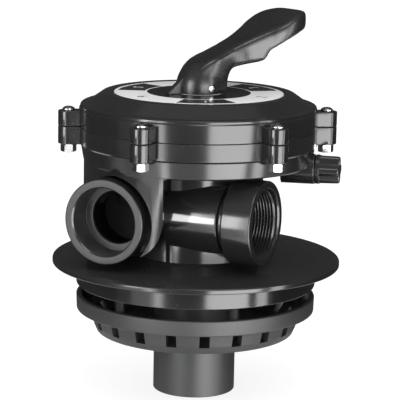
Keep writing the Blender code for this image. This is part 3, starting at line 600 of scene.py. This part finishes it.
def buildBody():
    s = named(bodyShape)
    grooveIn, grooveOut, grooveDepth = s.groove
    grooveFloor = s.rim - grooveDepth
    body = lathe("valveBody", [
        (0, s.seat), (s.chamberBore, s.seat, 1.0), (s.chamberBore, s.rim),
        (grooveIn, s.rim), (grooveIn, grooveFloor), (grooveOut, grooveFloor), (grooveOut, s.rim),
        (s.rimRadius, s.rim, 0.35), (s.rimRadius, s.rimFoot, 0.5),
        (s.chamberRadius + 2.2, s.rimFoot - 1.2, 0.5), (s.chamberRadius, s.chamberFoot, 1.6),
        (s.neckRadius, s.chamberFoot, 4.0), (s.neckRadius, s.neckFoot), (0, s.neckFoot)], s.steps)
    q = named(plugSeat)
    c = named(collarClearance)
    boss = lathe("plugBoss", [(0, q.face), (q.rimBore, q.face), (q.rimBore, q.rim),
                              (q.radius, q.rim, 0.7), (q.radius, s.bossRoot), (0, s.bossRoot)], 64,
                 plugPlace())
    posts, holes = lugRing("bodyLug", lugShape["foot"], s.rim, 0.5)
    tubes = [portTube(name + "Tube", ports[name]) for name in ("return", "waste")]
    shape(body, "UNION", [pumpBlock(), *tubes, boss, posts])

    window = pieSlice("seatWindow", *s.window, s.seat - 6.0, s.seat + 2.0)
    cuts = [portHollow(name + "Hollow", port) for name, port in ports.items()]
    cuts += [holes, ringCopies("seatWindows", window, s.windows, 0.0)]
    cuts += [pieSlice(name, *way) for name, way in waterways.items()]
    cuts.append(rod("tankBottomBore", s.bore, (0, 0, 0.102), (0, 0, 0.150), 48))
    aside, high = c.axis
    cuts.append(rod("collarClearance", c.radius, Vector((aside, c.front, high)) * mm,
                    Vector((aside, c.back, high)) * mm, 96))
    cuts.append(rod("plugHole", q.hole, polarPoint(q.holeEnd, q.azimuth, q.height),
                    polarPoint(q.face + 2, q.azimuth, q.height), 32))
    shape(body, "DIFFERENCE", cuts)
    finishPiece(body, "bodyBlack", "housing", ["valve_body"])
    # the waterways inside the ports take a near-black colour as painted shade
    for port in ports.values():
        paintWithin(body, "borePaintedShade", portPlace(port), port["waterway"] + 0.4, -70.0, 0.0)


flangeShape = {"radius": 105.0, "under": 95.5, "rim": 3.9, "top": 104.0, "spigotRadius": 87.5,
               "spigotFoot": 80.4, "spigotWall": 4.6, "plateUnder": 91.5, "pipeRadius": 30.35,
               "pipeStop": 94.55, "pipeBore": 25.2, "cuffWall": 4.2, "cuffFoot": 79.0,
               "window": (36.5, 43.5, 76.0, 164.0)}


def buildFlange():
    s = named(flangeShape)
    neck = bodyShape["neckRadius"]
    inner = s.spigotRadius - s.spigotWall
    cuff = s.pipeRadius + s.cuffWall
    flange = lathe("tankFlange", [
        (neck, s.top), (neck + 3.6, 102.4, 3.0), (s.radius, s.under + s.rim, 1.3),
        (s.radius, s.under, 0.8), (s.spigotRadius, s.under, 0.6), (s.spigotRadius, s.spigotFoot, 0.9),
        (inner, s.spigotFoot, 0.5), (inner, s.plateUnder, 1.5), (cuff, s.plateUnder, 1.5),
        (cuff, s.cuffFoot, 0.6), (s.pipeRadius, s.cuffFoot), (s.pipeRadius, s.pipeStop),
        (s.pipeBore, s.pipeStop, 0.5), (s.pipeBore, s.top)], bodyShape["steps"])
    window = pieSlice("tankTopWindow", *s.window, s.plateUnder - 2.0, s.top + 2.0)
    shape(flange, "DIFFERENCE", [window])
    finishPiece(flange, "bodyBlack", "housing", ["tank_flange"])


def rimEdges(piece, width, barrelRadius):  # soften the block's edges where its sides meet the barrel
    work = bmesh.new()
    work.from_mesh(piece.data)
    bmesh.ops.remove_doubles(work, verts=work.verts, dist=0.00001)
    picked = []
    for edge in work.edges:
        if len(edge.link_faces) != 2 or edge.calc_face_angle() < radians(40):
            continue
        if all(abs(hypot(v.co.x, v.co.y) - barrelRadius * mm) < 0.0005 for v in edge.verts):
            picked.append(edge)
    bmesh.ops.bevel(work, geom=picked, offset=width * mm, segments=3, profile=0.5, affect="EDGES",
                    clamp_overlap=True)
    work.to_mesh(piece.data)
    work.free()


threadShape = {"pitch": 2.31, "height": 1.25, "half": 0.95, "start": -20.0, "turns": 7.6, "sides": 4}


def buildThread(name, place):
    t = named(threadShape)
    ridge = runTree(name, helixTree, {
        "Radius": portShape["socket"] * mm, "Pitch": t.pitch * mm, "Turns": t.turns,
        "Ridge Height": t.height * mm, "Ridge Half Width": t.half * mm, "Ridge Sides": t.sides,
        "Material": finish["bodyBlack"]})
    ridge.data.transform(place @ Matrix.Translation((0, 0, t.start * mm)))
    finishPiece(ridge, "bodyBlack", "housing", [], 50.0)


buildBody()
buildFlange()
for portName, port in ports.items():
    buildCollar(portName + "Collar", port, portName + "_port_collar")
    if port["threaded"]:
        buildThread(portName + "Thread", portPlace(port))
print("body built")


# lid with its shoulder, skirt, screw posts and stem boss

lidShape = {"crest": 220.5, "crestRadius": 69.0, "slopeRadius": 80.6, "slopeFoot": 212.4, "shoulder": 211.8,
            "shoulderRadius": 85.4, "dialRadius": 61.55, "dialFloor": 218.9, "ceiling": 214.6,
            "bossRadius": 13.5, "bossFoot": 206.0, "sealRecess": 11.6, "sealFloor": 207.6, "stemBore": 9.35,
            "ceilingRadius": 66.0, "foot": 196.15, "steps": 192}


def buildLid():
    s = named(lidShape)
    skirt = bodyShape["rimRadius"]
    bore = bodyShape["chamberBore"]
    lid = lathe("lidShell", [
        (s.sealRecess, s.dialFloor), (s.dialRadius, s.dialFloor), (s.dialRadius, s.crest - 0.5, 0.2),
        (s.dialRadius + 0.9, s.crest, 0.5), (s.crestRadius, s.crest, 3.4),
        (s.slopeRadius, s.slopeFoot, 2.4), (s.shoulderRadius, s.shoulder, 1.2),
        (s.shoulderRadius, s.shoulder - 2.1, 0.4), (skirt, s.shoulder - 2.9, 0.4), (skirt, s.foot, 0.35),
        (bore, s.foot), (bore, s.bossFoot, 2.0), (s.ceilingRadius, s.ceiling, 3.0),
        (s.bossRadius, s.ceiling, 0.6), (s.bossRadius, s.bossFoot, 0.5), (s.stemBore, s.bossFoot),
        (s.stemBore, s.sealFloor), (s.sealRecess, s.sealFloor)], s.steps)
    posts, holes = lugRing("lidLug", s.foot, lugShape["top"], 0.7)
    shape(lid, "UNION", [posts])
    shape(lid, "DIFFERENCE", [holes])
    finishPiece(lid, "lidBlack", "housing", ["lid"])


buildLid()
print("lid built")


# printed dial and its numbers

dialShape = {"inner": 17.8, "outer": 61.2, "low": 219.25, "top": 220.4, "fillets": (0.3, 0, 0, 0.2),
             "numberRadius": 49.5, "numberSize": 11.0, "inkHeight": 0.06, "positions": 6,
             "firstAzimuth": 30.0}


def buildDial():
    s = named(dialShape)
    finishPiece(tube("dialPlate", s, 160), "dialFilm", "housing", ["dial_plate"])
    for ink, first in (("dialPale", 0), ("dialInk", 1)):  # pale numbers on the dark sectors
        buildNumbers("numbers" + ink, ink, range(first, s.positions, 2))


def buildNumbers(name, ink, places):
    s = named(dialShape)
    work = bmesh.new()
    for i in places:
        azimuth = s.firstAzimuth + 360.0 * i / s.positions
        text = bpy.data.curves.new("dialNumber", "FONT")
        text.body = str(i + 1)
        text.size = s.numberSize * mm
        text.align_x = "CENTER"
        text.align_y = "CENTER"
        text.extrude = s.inkHeight * mm / 2
        draft = bpy.data.objects.new("dialNumber", text)
        mesh = bpy.data.meshes.new_from_object(draft)
        place = facing(azimuth, s.top + s.inkHeight / 2 + 0.02)
        outwards = Matrix.Translation((s.numberRadius * mm, 0, 0))
        mesh.transform(place @ outwards @ Matrix.Rotation(pi / 2, 4, "Z"))
        work.from_mesh(mesh)
        bpy.data.objects.remove(draft, do_unlink=True)
    bmesh.ops.remove_doubles(work, verts=work.verts, dist=0.000002)
    finishPiece(newPiece(name, meshFrom(name, work)), ink, "housing", [])


buildDial()
print("dial built")


# cam lever: its side outline crossed with its plan outline on a domed hub, all melted together

leverShape = {"azimuth": 150.0, "pinHeight": 224.3, "foot": 220.75, "tip": (82.0, 269.8), "tipRadius": 8.0,
              "paddle": 65.0, "paddleRadius": 25.0, "hubRadius": 17.0, "voxel": 0.8, "melt": 150,
              "slotHalf": (8.8, 5.2), "slotTop": 7.8, "pinHole": 3.1, "ribHalf": 2.3}


def leverBlank():
    s = named(leverShape)
    low = s.foot - 6
    under = [(-8.0, low), (16.6, low), (16.9, 229.0, 8.0), (20.2, 237.6, 5.0), (47.0, 241.6, 3.0),
             (50.4, 249.4, 2.5), (62.8, 257.0, 40.0), (76.0, 262.0, 20.0)]
    upper = [(72.0, 275.2, 20.0), (60.7, 269.6, 80.0), (43.2, 261.8, 80.0), (12.9, 249.4, 60.0),
             (-1.0, 244.2, 10.0), (-8.0, 239.0)]
    side = rounded(under + arcPoints(s.tip, s.tipRadius, -60, 85, 12) + upper)
    half = rounded([(-9.0, 12.6), (4.0, 14.8, 10.0), (22.0, 13.4, 40.0), (33.0, 14.4, 30.0),
                    (40.0, 16.4, 30.0), (51.0, 20.4)], False)
    half += arcPoints((s.paddle, 0), s.paddleRadius, 120, 0, 28)
    plan = [(u, -v) for u, v in half] + [(u, v) for u, v in reversed(half[:-1])]
    blank = prism("leverGrip", side, -26, 26, upright)
    shape(blank, "INTERSECT", [prism("leverPlan", plan, 200, 290)])
    hub = lathe("leverHub", [(0, 243.6), (7.0, 242.6, 12.0), (13.4, 237.6, 10.0), (s.hubRadius, 229.0, 10.0),
                             (s.hubRadius, low), (0, low)], 72)
    cheeks = prism("leverCheeks", [(-3.0, -16.6), (16.8, -14.0), (16.8, 14.0), (-3.0, 16.6)], low, 231.0)
    shape(blank, "UNION", [hub, cheeks])
    melt = blank.modifiers.new("melt", "REMESH")
    melt.mode = "VOXEL"
    melt.voxel_size = s.voxel * mm
    soft = blank.modifiers.new("soft", "SMOOTH")
    soft.factor = 0.5
    soft.iterations = s.melt
    return bake(blank)


def buildLever():
    s = named(leverShape)
    foot = s.foot
    pin = s.pinHeight
    lever = leverBlank()
    rib = rounded([(-4.0, foot - 3), (-27.4, foot - 3), (-27.4, 222.2, 1.0), (-10.6, 235.6, 6.0),
                   (-4.0, 240.2)])
    shape(lever, "UNION", [prism("noseRib", rib, -s.ribHalf, s.ribHalf, upright, 0.7)])
    long, wide = s.slotHalf
    below = prism("belowFoot", [(-40, -40), (40, -40), (40, 40), (-40, 40)], foot - 12, foot)
    relief = [(12.3, foot - 2), (12.3, foot), (18.8, 224.8), (18.8, foot - 2)]
    heel = prism("heelRelief", relief, -20, 20, upright)
    flats = rounded([(-long, -wide, 1), (long, -wide, 1), (long, wide, 1), (-long, wide, 1)])
    slot = prism("stemSlot", flats, pin - 12, pin + s.slotTop)
    inside = rounded([(24, -8, 2), (42, -8, 2), (42, 8, 2), (24, 8, 2)])
    hollow = prism("gripHollow", inside, pin + 6, pin + 22, None, 1.5)
    hole = rod("pinHole", s.pinHole, (0, -0.03, pin * mm), (0, 0.03, pin * mm), 32)
    shape(lever, "DIFFERENCE", [below, heel, slot, hollow, hole])
    lever.data.transform(facing(s.azimuth))
    finishPiece(lever, "leverBlack", "lever", ["lever_handle"], 36.0)


buildLever()

pinShape = {"radius": 2.8, "half": 16.2}


def buildPin():
    s = named(pinShape)
    place = facing(leverShape["azimuth"], leverShape["pinHeight"]) @ upright
    pin = lathe("leverPin", [(0, s.half), (s.radius, s.half - 0.2, 0.6), (s.radius, -s.half + 0.2, 0.6),
                             (0, -s.half)], 40, place)
    finishPiece(pin, "stainless", "diverter", ["pivot_pin"])


buildPin()

washerShape = {"inner": 9.6, "outer": 17.2, "low": 219.25, "top": 220.4, "fillets": (0.3, 0, 0, 0.3)}
washer = tube("leverWasher", named(washerShape), 72)
finishPiece(washer, "nylonWhite", "selector", ["lever_washer"])
print("lever built")


# lid screws and nuts

screwShape = {"seat": 207.3, "tail": 176.4, "radius": 2.9, "headRadius": 4.5, "headHeight": 2.7,
              "recess": 1.1}
nutShape = {"low": 177.1, "high": 182.7, "corner": 5.77, "bore": 3.45}


def fastenerRing(name, piece, turn, node, sharp):  # one moved out to the first lug, then copied to all
    count = lugShape["count"]
    out = Matrix.Translation(polarPoint(lugShape["circle"], 0, 0))
    piece.data.transform(out @ Matrix.Rotation(turn, 4, "Z"))
    ring = ringCopies(name, piece, count, 0.0, finish["stainless"])
    nodes = [f"{node}_{i + 1}" for i in range(count)]
    finishPiece(ring, "stainless", "housing", nodes, sharp)


def buildScrews():
    s = named(screwShape)
    seat = s.seat
    screw = lathe("screw", [
        (0, seat + s.headHeight), (2.4, seat + s.headHeight - 0.2, 2.0), (s.headRadius, seat + 1.2, 1.6),
        (s.headRadius, seat, 0.3), (s.radius, seat, 0.3), (s.radius, s.tail, 0.7), (0, s.tail)], 32)
    top = seat + s.headHeight
    blade = [(-2.4, -0.5), (2.4, -0.5), (2.4, 0.5), (-2.4, 0.5)]
    blades = [prism(f"blade{i}", blade, top - s.recess, top + 1, Matrix.Rotation(i * pi / 2, 4, "Z"))
              for i in range(2)]
    shape(screw, "DIFFERENCE", blades)
    fastenerRing("lidScrews", screw, 0.5, "lid_screw", 40.0)


def buildNuts():
    s = named(nutShape)
    hexagon = [(s.corner * cos(pi * k / 3), s.corner * sin(pi * k / 3)) for k in range(6)]
    nut = prism("nut", hexagon, s.low, s.high)
    turnedDown = lathe("nutChamfer", [(0, s.high), (5.2, s.high), (6.0, s.high - 0.6), (6.0, s.low + 0.6),
                                      (5.2, s.low), (0, s.low)], 48)
    shape(nut, "INTERSECT", [turnedDown])
    bore = lathe("nutBore", [(0, s.high + 1), (s.bore + 1.5, s.high + 1), (s.bore, s.high - 0.5),
                             (s.bore, s.low + 0.5), (s.bore + 1.5, s.low - 1), (0, s.low - 1)], 32)
    shape(nut, "DIFFERENCE", [bore])
    fastenerRing("lidNuts", nut, pi / 2, "lid_nut", 32.0)


buildScrews()
buildNuts()
print("fasteners built")


# gauge plug with its lobed knob

plugShape = {"tip": 104.0, "collarOut": 89.4, "collarIn": 86.6, "collarRadius": 10.6, "knobRadius": 10.2,
             "shank": 5.0, "shankEnd": 76.4, "lobes": 4, "lobeDip": 4.4, "lobePower": 1.2,
             "sealPlace": 85.3, "sealRing": (7.0, 0.95), "steps": 128}


def buildPlug():
    s = named(plugShape)
    line = [(0, s.tip), (s.knobRadius - 0.4, s.tip, 1.4), (s.knobRadius, s.collarOut, 0.3),
            (s.collarRadius, s.collarOut, 0.6), (s.collarRadius, s.collarIn, 0.6),
            (s.shank, s.collarIn, 0.3), (s.shank, s.shankEnd, 0.8), (0, s.shankEnd)]

    def flute(radius, height, turn):  # on the knob alone
        if height < s.collarOut + 0.01:
            return 0.0
        return s.lobeDip * (0.5 - 0.5 * cos(s.lobes * turn)) ** s.lobePower * radius / s.knobRadius

    plug = lathe("gaugePlug", line, s.steps, plugPlace(), flute)
    finishPiece(plug, "bodyBlack", "plug", ["gauge_plug"])
    middle, thick = s.sealRing
    turns = [2 * pi * i / 16 for i in range(16)]
    section = [(middle + thick * cos(turn), s.sealPlace - thick * sin(turn)) for turn in turns]
    ring = lathe("plugRing", section, 64, plugPlace())
    finishPiece(ring, "sealRubber", "plug_carrier", ["plug_seal"])


buildPlug()
print("plug built")


# diffuser basket and pipe

basketShape = {
    "ringRadius": 87.5, "ringTop": 72.2, "ringFoot": 61.2, "ringInside": 83.5, "steps": 180,
    "wallTop": 77.0, "wallBend": (74.6, 50.4), "wallFoot": 72.2, "floor": 44.8, "thick": 3.0,
    "hollowTop": 73.6, "hollowFoot": 63.5, "pipeHole": 30.35, "pipeCuff": 33.6, "cuffHeight": 10.4,
    "slots": 20, "slotWidth": 7.4, "slotLow": 49.6, "slotHigh": 59.9, "slotReach": (58.0, 82.0),
    "firstSlot": 12.0, "pillars": 6, "pillarCircle": 80.8, "pillarRadius": 4.0, "pillarTop": 80.1,
    "firstPillar": 44.0}


def buildBasket():
    s = named(basketShape)
    ledge = s.ringFoot + 1.8
    inside = s.floor + s.thick
    bendRadius, bendHeight = s.wallBend
    basket = lathe("diffuserBasket", [
        (s.ringRadius, s.ringTop, 0.9), (s.ringRadius - 0.4, s.ringFoot, 0.9),
        (s.wallTop, s.ringFoot - 0.8, 0.6), (bendRadius, bendHeight, 6.0),
        (s.wallFoot, s.floor, 1.2), (s.pipeHole, s.floor, 0.4),
        (s.pipeHole, s.floor + s.cuffHeight), (s.pipeCuff, s.floor + s.cuffHeight, 0.5),
        (s.pipeCuff, inside, 1.0), (s.hollowFoot, inside, 1.5), (s.hollowTop, ledge, 0.6),
        (s.ringInside, ledge + 2.2, 0.8), (s.ringInside, s.ringTop, 0.5)], s.steps)
    half = s.slotWidth / 2
    near, far = s.slotReach
    outline = rounded([(near, -half, 0.5), (far, -half, 0.5), (far, half, 0.5), (near, half, 0.5)])
    slot = prism("slot", outline, s.slotLow, s.slotHigh, facing(0.0))
    shape(basket, "DIFFERENCE", [ringCopies("slots", slot, s.slots, s.firstSlot)])
    finishPiece(basket, "basketGrey", "housing", ["diffuser_basket"])
    pillar = rod("pillar", s.pillarRadius, polarPoint(s.pillarCircle, 0, ledge - 1.2),
                 polarPoint(s.pillarCircle, 0, s.pillarTop), 28)
    pillars = ringCopies("basketPillars", pillar, s.pillars, s.firstPillar)
    # the pillars are coloured near black as painted shade
    finishPiece(pillars, "pillarPaintedShade", "housing", [])


buildBasket()

pipeShape = {"inner": 25.2, "outer": 30.0, "low": 0.0, "top": 94.2, "fillets": (0.5, 0.8, 0.8, 0.4)}
pipe = tube("standpipe", named(pipeShape), 128)
finishPiece(pipe, "pipeGrey", "housing", ["standpipe_socket"])
print("basket and pipe built")


# coil over the diverter

coilShape = {"radius": 17.4, "wire": 1.2, "turns": 4.5, "low": 195.3, "high": 212.3, "lift": 4.2,
             "slack": 0.2, "sides": 12}


def buildCoil():
    s = named(coilShape)
    tall = s.high - s.low
    wire = s.wire * mm
    coil = runTree("rotorCoil", helixTree, {
        "Radius": s.radius * mm, "Pitch": (tall * mm - 2 * wire) / s.turns, "Turns": s.turns,
        "Ridge Height": wire, "Ridge Half Width": wire, "Ridge Sides": s.sides,
        "Material": finish["stainless"]})
    coil.data.transform(Matrix.Translation((0, 0, s.low * mm + wire)))
    finishPiece(coil, "stainless", "selector", ["rotor_spring"], 50.0)
    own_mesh(coil)


buildCoil()


# inner pieces keep their CAD shapes and get their finishes

innerFinish = {"rotor": "nylonWhite", "spider_gasket": "sealRubber",
               "spring_washer": "nylonWhite", "lid_seal": "sealRubber", "stem_seal_1": "sealRubber",
               "stem_seal_2": "sealRubber"}
for node, look in innerFinish.items():
    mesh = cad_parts[node].data
    mesh.materials.clear()
    mesh.materials.append(finish[look])


# studio: pale floor, white surroundings, softboxes

studio = {"floorHalf": 6.0, "floorTone": 0.3, "floorRoughness": 0.9, "floorGlow": 0.83,
          "worldForObject": 0.75, "fillAim": (0, 0, 0.15), "cameraAzimuth": 24.5,
          "cameraDistance": 1.35441, "cameraHeight": 0.40597, "pitchDown": 11.07, "roll": 1.06,
          "lens": 170.24, "shiftX": 0.0077}


def backgroundRays(tree):  # rays that see the white surroundings
    rays = wired(tree, "ShaderNodeLightPath", {}, None)
    seen = mathNode(tree, "MAXIMUM", rays["Is Camera Ray"], rays["Is Glossy Ray"])
    return mathNode(tree, "MAXIMUM", seen, rays["Is Transmission Ray"])


def mattMaterial(name, tone, roughness):
    material, tree, shader = plainMaterial(name)
    feed(tree, shader, {
        "Base Color": (tone, tone, tone, 1), "Roughness": roughness, "Specular IOR Level": 0.0})
    return material, tree, shader


def stagePiece(name, mesh, material, unseen):  # stands round the object, hidden from the kinds of rays named
    piece = bpy.data.objects.new(name, mesh)
    scene.collection.objects.link(piece)
    mesh.materials.append(material)
    for kind in unseen:
        setattr(piece, "visible_" + kind, False)


def buildFloor():
    half = studio["floorHalf"]
    mesh = bpy.data.meshes.new("floor")
    corners = [(-half, -half, 0), (half, -half, 0), (half, half, 0), (-half, half, 0)]
    mesh.from_pydata(corners, [], [(0, 1, 2, 3)])
    material, tree, shader = mattMaterial("paleFloor", studio["floorTone"], studio["floorRoughness"])
    glow = mathNode(tree, "MULTIPLY", backgroundRays(tree), studio["floorGlow"])
    feed(tree, shader, {"Emission Color": (1, 1, 1, 1), "Emission Strength": glow})
    stagePiece("floor", mesh, material, ("glossy", "shadow"))


# cloths round the object, seen by reflections alone; angles run from the camera's side
drapes = {
    "backCloth": {"middle": 180.0, "half": 100.0, "low": -25.0, "high": 55.0, "tone": 0.08},
    "frontCloth": {"middle": 0.0, "half": 80.0, "low": -28.0, "high": 55.0, "tone": 0.48},
    "topCloth": {"middle": 0.0, "half": 180.0, "low": 55.0, "high": 89.0, "tone": 0.4},
}
drapeRadius = 4.0
drapeSteps = (40, 16)


def buildDrape(name, drape):
    d = named(drape)
    turns, lifts = drapeSteps
    reach = drapeRadius / mm
    work = bmesh.new()
    rows = []
    for i in range(lifts + 1):
        lift = radians(d.low + (d.high - d.low) * i / lifts)
        row = []
        for k in range(turns + 1):
            turn = studio["cameraAzimuth"] + d.middle + d.half * (2 * k / turns - 1)
            row.append(work.verts.new(polarPoint(reach * cos(lift), turn, reach * sin(lift))))
        rows.append(row)
    for one, two in zip(rows, rows[1:]):
        for k in range(turns):
            work.faces.new((one[k], one[k + 1], two[k + 1], two[k]))
    material, tree, shader = mattMaterial(name, d.tone, 1.0)
    hidden = ("camera", "diffuse", "transmission", "volume_scatter", "shadow")
    stagePiece(name, meshFrom(name, work), material, hidden)


def buildWorld():
    world = bpy.data.worlds.new("whiteRoom")
    world.use_nodes = True
    scene.world = world
    tree = world.node_tree
    strength = spread(tree, backgroundRays(tree), 0.0, 1.0, studio["worldForObject"], 1.0)
    feed(tree, tree.nodes["Background"].inputs, {"Color": (1, 1, 1, 1), "Strength": strength})


# where each softbox stands, in degrees and metres; radiance is its brightness in reflections
softboxes = {
    "keyBox": {"azimuth": 55.5, "away": 2.5, "wide": 1.9, "tall": 2.45, "middle": -0.675, "radiance": 8.0},
    "keyTop": {"azimuth": 55.5, "away": 2.5, "wide": 1.9, "tall": 0.75, "middle": 0.925, "radiance": 1.7},
    "leftStrip": {"azimuth": -10.5, "away": 2.5, "wide": 0.35, "tall": 3.2, "middle": -0.3, "radiance": 6.7},
    "rightStrip": {"azimuth": 90.5, "away": 2.5, "wide": 0.53, "tall": 3.2, "middle": -0.3, "radiance": 6.0},
    "frontBox": {"azimuth": -24.5, "away": 2.5, "wide": 0.6, "tall": 1.3, "middle": 0.4, "radiance": 12.0},
    "lowBox": {"azimuth": -24.5, "away": 1.5, "wide": 0.7, "tall": 1.3, "middle": -0.85, "radiance": 1.0},
}
# large soft light overhead, facing down
overheadBox = {"spot": (0.9, -0.7, 2.2), "wide": 1.4, "tall": 1.0, "radiance": 3.4}
# soft fills that light the plastic's own colour and leave no mirror image
fillLights = {
    "topLight": {"spot": (0.35, -0.55, 1.5), "size": 1.2, "radiance": 2.6},
    "frontFill": {"spot": (-0.1, -1.5, 0.12), "size": 0.9, "radiance": 3.0},
}
# small bright card in the corner between the pump block and the return tube, in millimetres
cornerCard = {"spot": (19.5, -67.0, 139.6), "toward": (0.174, 0.985, 0.0), "wide": 35.0, "tall": 8.0,
              "radiance": 3.3, "beam": 80.0}


def areaLight(name, spot, toward, wide, tall, radiance, forGloss=True, beam=180.0):
    data = bpy.data.lights.new(name, "AREA")
    data.shape = "RECTANGLE"
    data.size = wide
    data.size_y = tall
    data.energy = radiance * pi * wide * tall
    data.spread = radians(beam)
    lamp = bpy.data.objects.new(name, data)
    aim = Vector(toward).to_track_quat("-Z", "Y").to_matrix().to_4x4()
    lamp.matrix_world = Matrix.Translation(spot) @ aim
    lamp.visible_camera = False
    lamp.visible_glossy = forGloss
    lamp.visible_diffuse = not forGloss
    lamp.visible_transmission = False
    scene.collection.objects.link(lamp)


def buildLights():
    for name, softbox in softboxes.items():
        s = named(softbox)
        spot = polarPoint(s.away / mm, s.azimuth, s.middle / mm)
        areaLight(name, spot, (-spot.x, -spot.y, 0), s.wide, s.tall, s.radiance)
    for name, fill in fillLights.items():
        s = named(fill)
        toward = Vector(studio["fillAim"]) - Vector(s.spot)
        areaLight(name, s.spot, toward, s.size, s.size, s.radiance, forGloss=False)
    s = named(cornerCard)
    areaLight("cornerCard", Vector(s.spot) * mm, s.toward, s.wide * mm, s.tall * mm, s.radiance, beam=s.beam)
    s = named(overheadBox)
    areaLight("overheadBox", s.spot, (0, 0, -1), s.wide, s.tall, s.radiance)


def buildCamera():
    s = named(studio)
    data = bpy.data.cameras.new("camera")
    data.sensor_width = 36.0
    data.lens = s.lens
    data.shift_x = s.shiftX
    camera = bpy.data.objects.new("camera", data)
    spot = polarPoint(s.cameraDistance / mm, s.cameraAzimuth, s.cameraHeight / mm)
    aside = Matrix.Rotation(radians(s.cameraAzimuth), 4, "Z")
    down = Matrix.Rotation(radians(90 - s.pitchDown), 4, "X")
    camera.matrix_world = Matrix.Translation(spot) @ aside @ down @ Matrix.Rotation(radians(s.roll), 4, "Z")
    scene.collection.objects.link(camera)
    scene.camera = camera


buildFloor()
for drapeName, drape in drapes.items():
    buildDrape(drapeName, drape)
buildWorld()
buildLights()
buildCamera()
scene.view_settings.view_transform = "Standard"
bpy.data.collections.remove(bench)
print("studio ready")
